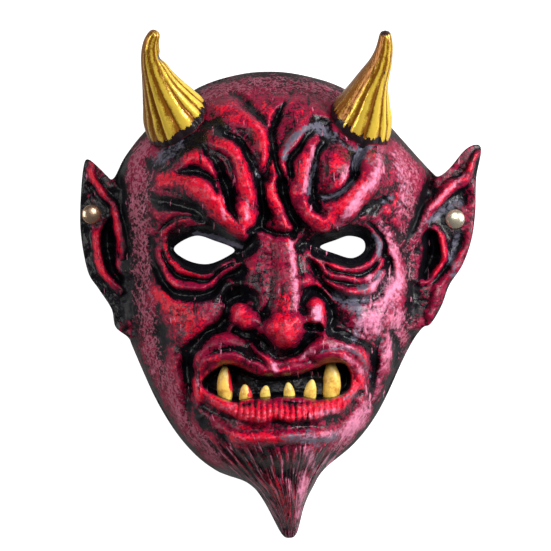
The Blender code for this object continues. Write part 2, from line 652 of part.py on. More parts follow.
def build():
    for stale in list(bpy.data.objects):
        bpy.data.objects.remove(stale, do_unlink=True)
    parts = bpy.data.collections.new("devil_mask")
    guides = bpy.data.collections.new("mask_guides")
    hollows = bpy.data.collections.new("mask_hollows")
    teeth = bpy.data.collections.new("mask_teeth")
    for collection in (parts, guides, hollows, teeth):
        bpy.context.scene.collection.children.link(collection)
    latex, gold, brass = (material(name) for name in COLOURS)
    floor = -MASK_HEIGHT / 12
    ceiling = MASK_HEIGHT

    outer = skin_relief()
    shell = as_object(slab(outer.height, SKIN_CELLS, 0.0), "mask_shell", parts, latex)
    edge = as_object(prism(spline(OUTLINE, 3, closed=True), floor, ceiling), "outline", guides)
    combine(shell, "INTERSECT", edge)

    lining = lining_relief(outer)
    former = as_object(slab(lining.height, LINING_CELLS, floor), "former", hollows)
    core = as_object(prism(cavity_ring(), floor * 0.7, ceiling), "core", guides)
    combine(former, "INTERSECT", core)
    for name, ring in EYE_HOLES.items():
        as_object(prism(spline(ring, 3, closed=True), floor, ceiling), f"eye_{name}", hollows)

    root_level = Relief(lining.level - HORN_ROOT / UNIT)
    trim = as_object(slab(root_level.height, LINING_CELLS, floor), "root_trim", guides)
    for turn, (name, line) in enumerate(HORN_LINES.items()):
        as_object(horn(line, FIT_GAP, turn), f"socket_{name}", hollows)
        combine(as_object(horn(line, 0.0, turn), f"horn_{name}", parts, gold), "DIFFERENCE", trim)

    for side, (name, place) in zip((-1, 1), RIVETS.items()):
        seat = seat_height(side) * UNIT
        as_object(turned(seat_profile(floor - seat), place, seat), f"seat_{name}", hollows)
        as_object(turned(rivet_profile(), place, seat), f"rivet_{name}", parts, brass)

    for name, sizes in TEETH.items():
        seat = float(outer.height(*np.array([[sizes[0]], [TOOTH_ROW]]))[0]) + TOOTH_BACK
        as_object(tooth(*sizes, seat), name, teeth)
    combine(shell, "UNION", teeth)
    combine(shell, "DIFFERENCE", hollows)

    origin = bpy.data.objects.new("mask_frame", None)
    parts.objects.link(origin)
    for collection in (parts, guides, hollows, teeth):
        for piece in collection.objects:
            if piece != origin:
                piece.parent = origin
    bpy.context.view_layer.update()
    graph = bpy.context.evaluated_depsgraph_get()
    corners = []
    for piece in parts.objects:
        if piece.type == "MESH":
            done = piece.evaluated_get(graph)
            corners += [done.matrix_world @ vertex.co for vertex in done.data.vertices]
    corners = np.array(corners)
    low, top = corners.min(axis=0), corners.max(axis=0)
    origin.location = (-(low[0] + top[0]) / 2, -(low[1] + top[1]) / 2, -low[2])


build()
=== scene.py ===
import math

import bmesh
import bpy
import numpy as np
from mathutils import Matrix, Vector


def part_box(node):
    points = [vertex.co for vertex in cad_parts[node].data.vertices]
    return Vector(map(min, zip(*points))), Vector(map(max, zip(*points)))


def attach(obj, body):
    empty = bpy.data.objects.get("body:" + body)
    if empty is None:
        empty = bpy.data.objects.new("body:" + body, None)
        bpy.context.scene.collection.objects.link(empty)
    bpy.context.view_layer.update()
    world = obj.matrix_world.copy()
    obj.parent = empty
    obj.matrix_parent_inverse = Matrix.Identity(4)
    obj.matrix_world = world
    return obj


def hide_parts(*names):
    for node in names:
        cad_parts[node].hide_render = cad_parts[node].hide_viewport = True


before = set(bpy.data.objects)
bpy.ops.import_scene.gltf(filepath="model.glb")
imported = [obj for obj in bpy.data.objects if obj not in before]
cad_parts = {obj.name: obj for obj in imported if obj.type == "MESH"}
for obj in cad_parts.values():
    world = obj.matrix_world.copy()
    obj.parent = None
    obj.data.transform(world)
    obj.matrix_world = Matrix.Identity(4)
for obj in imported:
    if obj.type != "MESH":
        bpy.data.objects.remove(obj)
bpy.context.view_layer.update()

# The latex face
# One thin slush-cast latex shell: face, ears, lips, closed mouth recess and beard in one piece,
# cast in a mould, trimmed along its outline and through the eyes, and painted by hand.
MASK_HEIGHT = 0.244
CARVING_ROWS = 508
UNIT = MASK_HEIGHT / CARVING_ROWS
LATEX_WALL = 0.0022
FIELD_X = (-204.0, 204.0)
FIELD_Y = (-257.0, 217.0)
SKIN_CELLS = (262, 304)
RASTER_STEP = 2.0
SEED = 41
FACE_TRIANGLES = 160000
SHEET_WARP = (0.86, 0.14)
STAIR_PASSES = 3
EVEN_PASSES = 6
EASE_REACH, EASE_GAIN = 6, 1.4
EASE_PASSES, EASE_SHARE = 8, 0.6
EYE_MARGIN = 4
RASTER_MARGIN = 12
RASTER_PAD = 8
LINING_PASSES = 6
LINING_EXTRA = 1.0
LINING_FLOOR = 0.8
THINNEST_WALL = 0.6
RIM_BEVEL = 0.9
RIM_SHOULDER = 0.3
RIM_REACH = 22.0
EAR_INSET = 0.6
EAR_EDGES = (0.4, 0.2)
EAR_FROM_X = 110
OFF_EAR = -50.0
BEARD_TIP_ROW = 254
BEARD_TIP_POINT = 27

OUTLINE = [
    (-3, 214), (34, 208), (62, 198), (89, 181), (121, 147), (137, 129), (152, 113), (158, 109),
    (169, 117), (185, 136), (197, 141), (201, 134), (196, 107), (195, 73), (191, 45), (182, 20),
    (169, 0), (161, -21), (150, -39), (141, -44), (126, -68), (99, -125), (74, -159), (44, -184),
    (32, -203), (23, -223), (16, -249), (8, -254), (0, -249), (-15, -221), (-26, -205),
    (-38, -196), (-66, -186), (-97, -159), (-124, -118), (-148, -65), (-153, -53), (-166, -42),
    (-170, -24), (-183, -4), (-194, 14), (-201, 52), (-201, 89), (-198, 120), (-193, 126),
    (-181, 116), (-175, 110), (-168, 107), (-156, 130), (-132, 159), (-89, 195), (-45, 211),
]
HEAD_EDGES = [
    (-254, -2, 18), (-236, -7, 21), (-221, -15, 23), (-205, -26, 32), (-192, -53, 40),
    (-180, -76, 52), (-159, -97, 74), (-130, -116, 96), (-95, -135, 112), (-60, -150, 130),
    (-30, -153, 138), (0, -153, 139), (40, -158, 143), (80, -163, 150), (115, -162, 149),
    (146, -144, 122), (168, -124, 104), (185, -104, 84), (199, -80, 60), (208, -54, 34),
    (216, -28, 10),
]
FACE_PROFILE = [
    (-254, 16), (-236, 34), (-215, 56), (-195, 76), (-170, 100), (-145, 116), (-110, 112),
    (-75, 108), (-40, 102), (0, 102), (40, 106), (70, 114), (100, 122), (135, 116), (165, 96),
    (190, 70), (206, 42), (216, 18),
]
SIDE_ROUNDING = (2.6, 0.55)
RIM_LIP = 9.0
RIM_BLEND = 6.0
EARS = {-1: (33.0, 0.24, 168.0, 107.0, -52.0), 1: (33.0, 0.24, 158.0, 109.0, -43.0)}
EAR_BLEND = 9.0
NOTCH_STEEPNESS = 3.0
NOTCH_NORMAL = (0.87, 0.50)
EAR_ROOT_X = 148.0
EYE_HOLES = [
    [(-107, 37), (-86, 49), (-66, 44), (-47, 36), (-53, 29), (-73, 21), (-94, 25)],
    [(39, 38), (55, 45), (68, 49), (82, 45), (83, 34), (71, 27), (55, 31)],
]
MOUTH = [
    (-81, -95), (-63, -79), (-50, -77), (-31, -84), (-14, -89), (14, -87), (33, -81), (48, -75),
    (65, -77), (72, -90), (68, -108), (39, -117), (14, -114), (-31, -116), (-46, -119), (-73, -109),
]
MOUTH_DEPTH = 30.0
MOUTH_WALL = 7.0

# Rounded forms: path, half widths, heights, all in carving rows. One number holds for a whole path.
FORM_FULLNESS = (2.6, 1.1)
FORMS = [
    ([(-2, 74), (2, 44), (5, 14), (5, -18), (4, -42)], (9, 13, 16, 20, 25), (0, 11, 21, 32, 40)),
    ([(-3, -40), (4, -42), (12, -40)], (18, 22, 18), (34, 41, 34)),
    ([(4, -22), (5, -52)], (11, 13), (5, 7)),
    ([(-12, 46), (-16, 16), (-18, -14)], (20, 24, 22), (5, 15, 22)),
    ([(16, 40), (18, 10), (18, -16)], (14, 16, 16), (4, 10, 16)),
    ([(-40, -30), (-32, -34)], (15, 16), (26, 27)),
    ([(-30, -36), (-12, -42)], (13, 14), (22, 30)),
    ([(34, -24), (36, -32)], (14, 16), 28),
    ([(20, -34), (30, -34)], 12, 24),
    ([(-112, 84), (-78, 84), (-42, 62)], (24, 26, 20), (6, 13, 12)),
    ([(40, 66), (72, 86), (92, 110)], (20, 26, 22), (12, 13, 8)),
    ([(-118, -16), (-92, -30)], 34, (12, 14)),
    ([(84, -28), (104, -14)], 32, (14, 12)),
    ([(-74, -66), (-44, -56)], 24, (12, 14)),
    ([(42, -54), (72, -66)], 24, (14, 12)),
    ([(-30, -152), (8, -156), (38, -150)], (24, 30, 24), (8, 14, 8)),
]
FOLD_FULLNESS = (2.4, 1.2)
FOLD_SPREAD = 1.18
GROOVE_FULLNESS = (1.5, 1.4)
GROOVE_SPREAD = 1.05
WAVER = 3.0
WAVER_SIZE = 17.0

# Soft lumps of the cast skin: height, size and which draw of random numbers
LUMPS = [(1.7, 12.0, 0), (0.8, 5.2, 1), (0.35, 2.7, 4)]
GRAIN_LATTICE = 256
GRAIN_SHIFT = (97.3, 61.7)

# Raised folds: brow, lids, lips, muzzle, beard and ears, then the grooves between them
RIDGES = [
    ([(-78, 172), (-54, 174), (-36, 166), (-25, 156), (-17, 142), (-12, 122),
      (-12, 110)], (9, 12, 11, 10, 8), (3, 7, 9, 10, 6)),
    ([(-67, 145), (-57, 141), (-46, 132), (-39, 118), (-33, 100), (-32, 84), (-34, 66),
      (-40, 56)], (9, 10, 11, 11, 11), (6, 11, 13, 14, 11)),
    ([(-122, 105), (-104, 106), (-92, 103), (-80, 94), (-69, 83), (-60, 71), (-52, 60),
      (-42, 56)], (8, 12, 13, 13, 11), (5, 10, 13, 14, 11)),
    ([(-104, 115), (-88, 128), (-76, 125), (-66, 112)], (7, 9, 8), (4, 9, 6)),
    ([(-124, 72), (-104, 66), (-88, 66)], (6, 7), (4, 6)),
    ([(-120, 50), (-109, 57), (-95, 62), (-80, 59)], 4, (3, 4)),
    ([(14, 178), (26, 166)], (17, 19), (5, 6)),
    ([(28, 162), (18, 150), (8, 138), (3, 124), (0, 110)], (7, 8, 6), (5, 8, 5)),
    ([(32, 148), (28, 132), (23, 115), (20, 98), (22, 84), (29, 72), (41, 63),
      (55, 59)], (9, 10, 10, 10, 10), (6, 11, 13, 12, 9)),
    ([(46, 134), (56, 122), (52, 106)], (13, 16, 13), (7, 11, 7)),
    ([(94, 142), (93, 124), (89, 109), (80, 95), (69, 83), (58, 72),
      (46, 66)], (10, 12, 13, 14, 12), (6, 10, 13, 14, 9)),
    ([(82, 64), (92, 67), (106, 74)], (5, 6), (4, 5)),
    ([(72, 61), (84, 57), (91, 49), (93, 38)], 4, (3, 4)),
    ([(-11, 99), (-8, 86), (-3, 74), (6, 60)], (7, 9, 7), (5, 10, 7)),
    ([(-115, 44), (-113, 31), (-101, 17), (-88, 11), (-71, 11),
      (-48, 24)], (3, 4, 4, 3.5, 3), (4, 8, 8, 6, 4)),
    ([(-125, 34), (-120, 22), (-107, 6), (-88, -2), (-69, 1), (-50, 14)], (4, 5, 5, 4), (5, 7, 8, 4)),
    ([(95, 38), (93, 28), (86, 21), (72, 16), (58, 17), (43, 25), (26, 37)], (4, 5, 5, 4), (5, 8, 9, 5)),
    ([(100, 26), (95, 12), (80, 5), (63, 6), (47, 14), (36, 23)], (4, 5, 5, 4), (5, 7, 7, 4)),
    ([(100, 12), (91, 0), (76, -5), (60, -2), (47, 6)], (5, 6, 6, 4), (5, 8, 7, 4)),
    ([(22, 38), (29, 28), (36, 20), (42, 10)], (3, 4, 3), (3, 5, 3)),
    ([(16, 1), (26, 5), (36, 2)], (5, 6, 5), (4, 6, 4)),
    ([(-88, -98), (-76, -80), (-65, -74), (-52, -72), (-34, -77), (-19, -84), (-4, -85), (11, -84),
      (26, -79), (39, -72), (52, -69), (66, -74), (77, -87),
      (81, -100)], (4, 5, 4, 4, 5, 4), (5, 7, 6, 6, 7, 5)),
    ([(44, -60), (58, -56), (74, -62), (84, -76)], (8, 9, 8), (4, 7, 4)),
    ([(-84, -76), (-70, -60), (-52, -56), (-38, -62)], (8, 9, 8), (4, 7, 4)),
    ([(-34, -48), (-24, -60), (-13, -72), (-7, -82)], (6, 7, 6), (5, 9, 7)),
    ([(41, -50), (36, -62), (24, -71), (10, -77)], (6, 7, 6), (5, 9, 7)),
    ([(-72, -106), (-60, -119), (-44, -126), (-20, -127), (8, -126), (38, -126), (59, -118),
      (74, -100)], (5, 7, 9, 9, 8, 5), (6, 12, 16, 16, 12, 6)),
    ([(-50, -150), (-14, -151), (18, -149), (48, -150)], (6, 7, 6), (3, 5, 3)),
    ([(-87, -96), (-80, -110)], 6, 5),
    ([(112, 34), (120, 12), (122, -10)], (6, 7, 6), (3, 6, 3)),
    ([(-105, -76), (-105, -104), (-98, -136)], (9, 10, 8), (6, 9, 4)),
    ([(105, -76), (103, -104), (92, -128)], (9, 10, 8), (6, 9, 4)),
    ([(-6, -172), (-3, -190), (3, -210), (8, -238)], (8, 9, 6), (4, 8, 4)),
    ([(-194, 124), (-186, 105), (-177, 92), (-167, 78), (-163, 60), (-160, 44),
      (-157, 28)], (4, 5, 6, 4), (5, 8, 9, 6)),
    ([(-172, 71), (-181, 60), (-186, 48), (-186, 34), (-184, 21), (-178, 9), (-168, 0),
      (-159, -8)], (4, 5, 5, 4), (4, 8, 8, 5)),
    ([(198, 134), (188, 112), (172, 98), (159, 86), (146, 70), (138, 53),
      (132, 36)], (4, 6, 7, 5), (6, 9, 10, 6)),
    ([(191, 104), (192, 83), (192, 64), (188, 47), (181, 30), (171, 14), (162, 0), (157, -14),
      (149, -32)], (5, 7, 8, 7, 6), (3, 6, 7, 7, 5)),
    ([(148, 57), (159, 53), (165, 38), (163, 22), (153, 11), (142, 5)], (4, 5, 4), (4, 8, 5)),
    ([(134, 27), (133, 8)], 5, 5),
]
GROOVES = [
    ([(-48, 191), (-34, 179), (-24, 166), (-12, 150)], (5, 7, 7), (4, 9, 11)),
    ([(8, 191), (0, 174), (-8, 158), (-11, 148)], (5, 7, 7), (4, 9, 11)),
    ([(-11, 152), (-9, 130), (-14, 112), (-21, 96), (-21, 78), (-17, 58)], (6, 8, 8, 7), (10, 14, 13, 10)),
    ([(-8, 140), (-3, 120), (0, 104), (5, 88), (9, 72), (13, 58)], (6, 7, 7), (10, 13, 9)),
    ([(-34, 54), (-14, 55), (10, 50)], (5, 6), 8),
    ([(-52, 150), (-44, 143), (-36, 132), (-27, 110), (-22, 94)], (5, 6, 7, 8), (5, 10, 13, 12)),
    ([(-75, 132), (-66, 121), (-58, 104), (-52, 90), (-51, 74)], (5, 7, 9, 6), (6, 12, 16, 12)),
    ([(-106, 111), (-88, 113), (-74, 105), (-64, 93)], (4, 5, 6, 6), (4, 8, 10, 10)),
    ([(-128, 88), (-112, 82), (-98, 78), (-84, 70)], (6, 8, 8), (4, 9, 6)),
    ([(40, 160), (45, 146)], (11, 10), 9),
    ([(38, 154), (22, 141), (12, 127), (7, 108)], (5, 6, 6), (7, 11, 9)),
    ([(42, 140), (36, 130), (31, 112), (30, 94), (34, 80), (44, 70)], (5, 7, 8, 6), (8, 13, 13, 8)),
    ([(82, 138), (75, 122), (71, 109), (64, 98), (56, 90), (47, 87),
      (37, 89)], (6, 6, 7, 7, 6), (8, 12, 12, 10, 6)),
    ([(79, 70), (90, 80), (102, 84)], (4, 5), (5, 6)),
    ([(86, 62), (96, 54), (102, 42), (102, 28)], (3, 4), (5, 8)),
    ([(-100, 36), (-58, 38)], 21, 20),
    ([(44, 38), (82, 40)], (18, 19), (17, 19)),
    ([(-30, 40), (-46, 32)], 12, (10, 14)),
    ([(22, 40), (38, 34)], (11, 12), (9, 13)),
    ([(-126, 46), (-113, 60), (-96, 67), (-80, 63)], (3, 4, 3), (3, 6, 4)),
    ([(-120, 32), (-111, 17), (-99, 8), (-86, 4), (-68, 7), (-50, 19)], 3, (3, 4, 3)),
    ([(-131, 46), (-127, 26), (-114, 0), (-98, -11), (-77, -10), (-58, 2),
      (-40, 14)], (5, 7, 7, 7), (6, 10, 10, 6)),
    ([(101, 32), (95, 19), (80, 9), (62, 11), (44, 20)], 3, (4, 5, 4)),
    ([(102, 18), (93, 4), (77, -2), (60, 1), (44, 11)], 3, (4, 5)),
    ([(24, 34), (33, 20), (43, 4), (58, -10), (77, -15), (96, -10), (107, 6),
      (106, 24)], (5, 6, 7, 7, 6), (6, 10, 10, 7)),
    ([(-54, -16), (-43, -9), (-31, -12), (-25, -20)], (7, 9, 7), (9, 14, 7)),
    ([(22, -16), (28, -5), (38, -6), (48, -18)], (5, 7, 6), (9, 13, 9)),
    ([(26, -42), (38, -41)], (5, 6), 14),
    ([(-46, -47), (-30, -48)], 5, 7),
    ([(-50, -17), (-58, -38), (-75, -54), (-90, -66), (-95, -84), (-94, -103), (-93, -128),
      (-88, -147)], (7, 8, 9, 9, 9), (8, 12, 13, 8, 4)),
    ([(46, -20), (51, -42), (62, -52), (78, -58), (90, -70), (94, -96),
      (93, -120)], (7, 7, 8, 9, 9), (8, 11, 11, 7, 4)),
    ([(-44, -48), (-26, -56), (-12, -67), (2, -71), (16, -68), (28, -57),
      (38, -50)], (5, 6, 5, 6, 5), (6, 8, 8, 8, 7)),
    ([(-76, -120), (-58, -135), (-40, -142), (-12, -143), (14, -140), (40, -141), (64, -131),
      (79, -108)], (6, 8, 8, 8, 6), (4, 6, 5, 6, 4)),
    ([(-121, -44), (-119, -70)], (12, 11), (7, 6)),
    ([(112, -44), (116, -66), (113, -88)], (4, 8, 4), (4, 10, 4)),
    ([(88, -10), (96, -22)], 7, 3),
    ([(-172, 60), (-173, 40), (-172, 20), (-165, 7)], (8, 10, 9, 7), (13, 19, 17, 9)),
    ([(-191, 100), (-184, 84), (-176, 71)], (4, 5), (4, 5)),
    ([(150, 46), (152, 30), (147, 14)], (10, 12, 9), (15, 19, 13)),
    ([(150, 96), (140, 78), (133, 58)], (7, 8, 6), (4, 7, 6)),
    ([(181, 92), (182, 60), (172, 32), (160, 6)], (5, 6, 6), (3, 6, 5)),
]

# The beard and the lower lip: fine strands that gather at the beard's tip, and upright ribs
BEARD_SPREAD = [(-262, 9, 5), (-236, 9, 13), (-221, 7, 21), (-205, 4, 31), (-192, 0, 43),
                (-178, -2, 56), (-165, -4, 68), (-150, -6, 80), (-130, -8, 92)]
STRANDS, FINE_STRANDS = 15, 37
STRAND_RISE, FINE_STRAND_RISE = 3.4, 2.0
FINE_FROM, FINE_FADE, FINE_SHIFT = 18.0, 22.0, 1.0
BEARD_WANDER, WANDER_SIZE = 0.035, 26.0
BEARD_START = 16.0
BEARD_WIDTH, BEARD_THINNING = 1.12, 0.2
BEARD_ARCH = [(-100, -128), (-60, -150), (-20, -156), (8, -154), (40, -154), (70, -146), (96, -120)]
LIP_RIBS = ([(-44, -124), (-16, -125), (8, -124), (34, -124), (58, -118)], (11, 13, 11), (1, 1, 1))
RIB_PITCH = 5.7
RIB_RISE = 1.8
RIB_FULLNESS = (3, 1)
RIVETS = {-1: (-190.0, 71.0), 1: (174.5, 66.0)}
SEAT_RADIUS = 14.0
SEAT_FADE = 8
SEAT_RISE = 1.6

# Where each coat, and the painted shade, sheen and highlights, were laid on: path, half widths, strengths
STROKE_FULLNESS = (1.8, 1.4)
THICKEST = 1.2
EYE_SOOT, EYE_SOOT_FADE = 12.0, 3.0
RIM_WINE, RIM_WINE_FROM, RIM_WINE_FADE, RIM_WINE_SIDE = 0.9, 38.0, 26.0, 152
RIM_ROUND = 1400.0
# Dark zones: black paint in the hollows, and painted shade on sides turned away from the lamp
DARK_PAINT_AND_SHADE = [
    ([(-112, 14), (-98, 1), (-71, -5), (-46, 2), (-32, 16)], (4, 5, 4), (0.5, 0.7, 0.5)),
    ([(-126, 124), (-104, 138), (-84, 146)], (17, 19, 14), 1),
    ([(-78, 170), (-62, 156)], 12, 1),
    ([(-92, 80), (-76, 66), (-62, 54)], 12, 0.9),
    ([(-124, 86), (-92, 76)], 9, 0.8),
    ([(36, 160), (46, 144)], (15, 14), 1),
    ([(94, 144), (74, 128), (68, 112)], (12, 11, 7), (0.9, 0.8)),
    # Painted shade down the left side of the nose bridge
    ([(-30, 42), (-26, 16), (-30, -4)], (16, 14, 14), (0.7, 0.5)),
    ([(-54, -8), (-34, -7)], (13, 11), 1),
    ([(-72, -56), (-88, -70), (-94, -96)], 7, 0.5),
    ([(-126, 8), (-104, -10), (-76, -12), (-48, -4)], 9, (0.8, 1)),
    ([(-78, -64), (-54, -62), (-34, -66)], 12, 0.8),
    ([(-28, -54), (-22, -64)], (9, 8), (0.5, 0.4)),
    ([(50, -46), (66, -54)], (10, 9), 0.9),
    ([(98, -70), (104, -100), (96, -126)], 13, (0.7, 0.6)),
    ([(-90, -122), (-78, -136), (-58, -150)], 10, (0.9, 0.8)),
    ([(-160, 100), (-157, 60), (-156, 10), (-152, -30)], 6, 0.8),
    ([(142, 100), (138, 76), (130, 52)], 7, (0.5, 0.7)),
    ([(-196, 90), (-194, 40), (-180, 0), (-166, -34)], (9, 10), 0.7),
    ([(-76, -82), (-52, -74), (-20, -86), (24, -82), (50, -70), (74, -80)], 8, (0.45, 0.35)),
    ([(-56, -98), (0, -101), (50, -97)], (24, 20, 24), 1.2),
    ([(-122, 78), (-92, 74), (-72, 62)], (7, 8), (0.9, 0.8)),
    ([(170, 60), (178, 46), (166, 14)], (8, 9), 0.5),
    ([(150, 46), (152, 28), (146, 10)], 10, 1.1),
    ([(-120, -46), (-119, -68)], (12, 11), (0.3, 0.25)),
    ([(113, -50), (116, -68), (114, -82)], (4, 7, 4), (0.4, 0.9, 0.4)),
]
SCARLET = [
    ([(-60, 172), (-34, 164), (-18, 144), (-12, 118)], 9, (0.5, 0.9)),
    ([(-62, 143), (-42, 126), (-34, 100), (-34, 66)], (9, 10), (0.8, 1)),
    ([(-118, 106), (-92, 103), (-70, 84), (-52, 60)], (9, 12), (0.8, 1.1)),
    ([(-92, 126), (-74, 122)], 7, 0.9),
    ([(-16, 178), (-10, 170)], (9, 7), 0.7),
    ([(-10, 96), (-4, 76)], 8, 1),
    ([(3, -12), (3, -34), (5, -54)], (9, 14, 13), (0.9, 1.2)),
    ([(-40, -30), (-36, -34)], 9, 1),
    ([(36, -18), (44, -28)], 6, 1),
    ([(-122, -8), (-102, -24), (-88, -44)], 20, (0.8, 0.9)),
    ([(-115, 40), (-111, 26), (-98, 15), (-84, 10)], (4.5, 5), 1.2),
    ([(-88, 10), (-70, 12)], 3.5, (0.9, 0.6)),
    ([(30, 34), (46, 24), (60, 18)], 4, (0.6, 0.5)),
    ([(8, 44), (12, 38)], 6, 0.9),
    ([(12, 24), (20, 12)], 5, 0.7),
    ([(-64, -116), (-40, -127), (10, -128), (58, -119)], (8, 9), (1.1, 1.2)),
    ([(-88, -96), (-80, -112)], 7, 0.7),
    ([(70, -106), (78, -94)], 5, 0.8),
    ([(-40, -143), (-8, -144)], 7, 0.6),
    ([(-76, 170), (-62, 158)], 8, 0.7),
    ([(-10, -182), (-4, -206), (5, -232)], (8, 6), (1.1, 0.9)),
    ([(-58, -146), (-24, -152), (2, -153)], (8, 7), 0.5),
    ([(-30, -176), (-14, -206)], (6, 5), (0.5, 0.4)),
    ([(-194, 118), (-180, 94), (-167, 66), (-162, 34)], (3, 3.5), (0.6, 0.9)),
    ([(-186, 52), (-187, 28), (-176, 6)], (3, 3.5), (0.9, 1.1)),
    ([(192, 120), (172, 98), (152, 78), (138, 48)], (3.5, 4), (0.3, 0.6)),
    ([(160, 52), (164, 34), (154, 12)], (3, 3.5), (0.7, 0.8)),
    ([(190, 88), (186, 50), (168, 12)], 4, (0.4, 0.5)),
    ([(34, 164), (22, 172)], (10, 8), 0.4),
    ([(24, 128), (22, 104)], 7, 0.6),
    ([(56, 126), (50, 112)], (9, 8), 0.7),
    ([(62, 80), (52, 66)], (9, 8), 0.7),
    ([(116, 92), (114, 80)], 3, 1),
    ([(114, 24), (121, 2)], 5, 0.5),
]
WINE = [
    ([(-6, 44), (-2, 12), (2, -22)], (16, 18), 0.8),
    ([(-78, 174), (-64, 156)], (10, 9), 0.9),
    ([(-64, -138), (-20, -146), (20, -143), (62, -136)], 11, 0.8),
    ([(-86, -84), (-68, -64), (-42, -60), (-14, -74)], (14, 13), (0.8, 0.9)),
    ([(-6, -78), (20, -72), (40, -58), (60, -60), (86, -84)], (12, 14), (0.9, 0.8)),
    ([(-46, -172), (0, -182), (44, -172)], 22, 0.6),
    ([(0, -200), (6, -226), (10, -252)], (20, 16), (0.8, 1.1)),
    ([(-106, -90), (-96, -130), (-74, -158)], (18, 16), 0.7),
    ([(106, -88), (96, -126), (74, -154)], 16, 0.5),
    ([(-40, 190), (10, 196), (56, 184)], 20, 0.5),
    ([(190, 110), (192, 76), (184, 34), (160, -16)], 14, (0.7, 0.8)),
    ([(142, 70), (156, 98), (176, 118), (196, 136)], 16, (0.9, 0.8)),
    ([(-192, 116), (-178, 96)], 9, 0.6),
    ([(-4, 40), (2, 0), (2, -30)], (22, 26), (0.5, 0.6)),
    ([(-42, -34), (-30, -40)], 16, 0.7),
    ([(-190, 100), (-196, 60), (-184, 10)], 10, 0.5),
]
# Painted highlights: pinkish-white highlights on slopes facing the lamp on the right, and a few glints
# elsewhere
PAINTED_HIGHLIGHTS = [
    ([(98, 138), (98, 116), (90, 98)], (8, 9), (0.6, 0.8)),
    ([(76, 82), (64, 70)], (8, 7), (0.8, 0.7)),
    ([(62, 108), (70, 120)], 6, 0.7),
    ([(33, 136), (28, 114), (24, 94)], (4, 5), (0.8, 0.9)),
    ([(88, -40), (102, -18), (112, 4)], (23, 21), (1, 0.9)),
    ([(120, -30), (104, -76), (94, -110)], (15, 14), (0.8, 0.7)),
    ([(66, -148), (88, -122)], 14, (0.95, 0.85)),
    ([(100, 60), (112, 40), (116, 10)], 9, 0.7),
    ([(50, 40), (62, 66), (84, 96)], (6, 7), (0.5, 0.7)),
    ([(64, -72), (84, -88)], 7, 0.5),
    ([(10, 44), (13, 10), (15, -22)], 6, 0.8),
    ([(36, -26), (36, -32)], 8, 0.9),
    ([(22, -152), (40, -150), (58, -146)], (6, 8), (0.4, 0.6)),
    ([(88, 8), (92, -2)], 8, 0.7),
    ([(-6, -80), (-5, -84)], 6, 0.9),
    ([(30, -66), (22, -72)], 6, 0.7),
    ([(50, -60), (68, -62)], 7, 0.6),
    ([(-33, 84), (-34, 66)], 4, (0.7, 0.8)),
    ([(-58, 74), (-56, 66)], 4, 0.7),
    ([(30, -130), (56, -126)], 5, (0.5, 0.6)),
    ([(22, -190), (20, -214), (17, -232)], (7, 6, 4), (0.9, 0.8)),
    ([(184, 112), (168, 95), (150, 76), (138, 50)], 4, 0.6),
    ([(112, 130), (122, 100), (120, 74)], 14, (0.45, 0.5)),
    ([(-138, 110), (-146, 60), (-140, 10)], 13, 0.3),
    ([(26, -164), (32, -184)], (8, 6), (0.7, 0.6)),
]
# Painted sheen: grey-blue reflections painted on the black where its gloss would catch the lamps
PAINTED_SHEEN = [
    ([(40, -66), (62, -62), (80, -72), (89, -92)], (4, 6, 4), (0.5, 0.75, 0.5)),
    ([(-27, 130), (-22, 108)], 5, (0.5, 0.55)),
    ([(60, 142), (84, 128), (96, 110)], (6, 7, 5), (0.5, 0.6, 0.5)),
    ([(70, -12), (79, -34), (73, -54)], (8, 9, 7), (0.75, 0.85, 0.6)),
    ([(28, -146), (36, -160)], (7, 6), (0.7, 0.5)),
    ([(-85, 51), (-62, 46), (-40, 38)], 4, 1.2),
    ([(92, 50), (98, 42), (97, 30)], (4, 4.5), 1.1),
    ([(3, 126), (8, 140), (22, 154), (38, 160)], (5, 6, 6), (1, 0.9)),
    ([(38, 156), (52, 148)], 10, 0.6),
    ([(94, 146), (80, 132), (73, 118)], 7, 0.9),
    ([(35, 122), (30, 106), (27, 92)], 4, 0.8),
    ([(42, 87), (58, 91), (72, 103)], 4, 0.7),
    ([(102, 82), (110, 88), (118, 82)], 5, 0.6),
    ([(78, -4), (92, 0), (99, 12)], (5, 6), (0.8, 0.9)),
    ([(58, -12), (74, -22), (86, -10)], (12, 13), (0.7, 0.6)),
    ([(-122, 126), (-100, 140)], 12, 0.6),
    ([(-34, 88), (-33, 76)], 3.5, 0.9),
    ([(-20, -60), (-6, -70)], 5, 0.5),
    ([(50, -122), (60, -112), (72, -110)], 8, (0.7, 0.6)),
    ([(96, -40), (104, -70)], 8, (0.5, 0.4)),
    ([(148, 64), (162, 74), (178, 84)], (7, 9), (0.8, 0.7)),
    ([(178, 52), (172, 26), (174, 6)], (7, 9, 7), (0.6, 0.75, 0.6)),
    ([(2, -152), (20, -152), (40, -154), (54, -150)], (8, 9), (0.8, 0.9)),
    ([(118, 122), (126, 84)], 9, (0.45, 0.4)),
]
ASHEN = [
    ([(-140, 140), (-144, 80), (-142, 20), (-136, -30), (-122, -84), (-100, -130),
      (-70, -170)], (26, 26, 26, 20, 20), (1.1, 1.1, 1.1, 1, 0.9)),
    ([(-122, 160), (-80, 192), (-40, 206), (10, 206), (60, 194), (100, 168)], (22, 26, 22), 1.1),
    ([(120, 146), (132, 100), (130, 50), (126, 0)], (18, 20, 18), 0.9),
    ([(130, -34), (118, -76), (94, -124), (60, -166)], 18, 1),
]


def eased(at, knots, levels):
    """Heights of a smooth curve through (knot, level) pairs, level beyond its ends."""
    knots, levels = np.asarray(knots, float), np.asarray(levels, float)
    slopes = np.gradient(levels, knots)
    at = np.clip(at, knots[0], knots[-1])
    low = np.clip(np.searchsorted(knots, at) - 1, 0, len(knots) - 2)
    span = knots[low + 1] - knots[low]
    t = (at - knots[low]) / span
    return (
        levels[low] * (1 + 2 * t) * (1 - t) ** 2
        + slopes[low] * span * t * (1 - t) ** 2
        + levels[low + 1] * t * t * (3 - 2 * t)
        + slopes[low + 1] * span * t * t * (t - 1)
    )


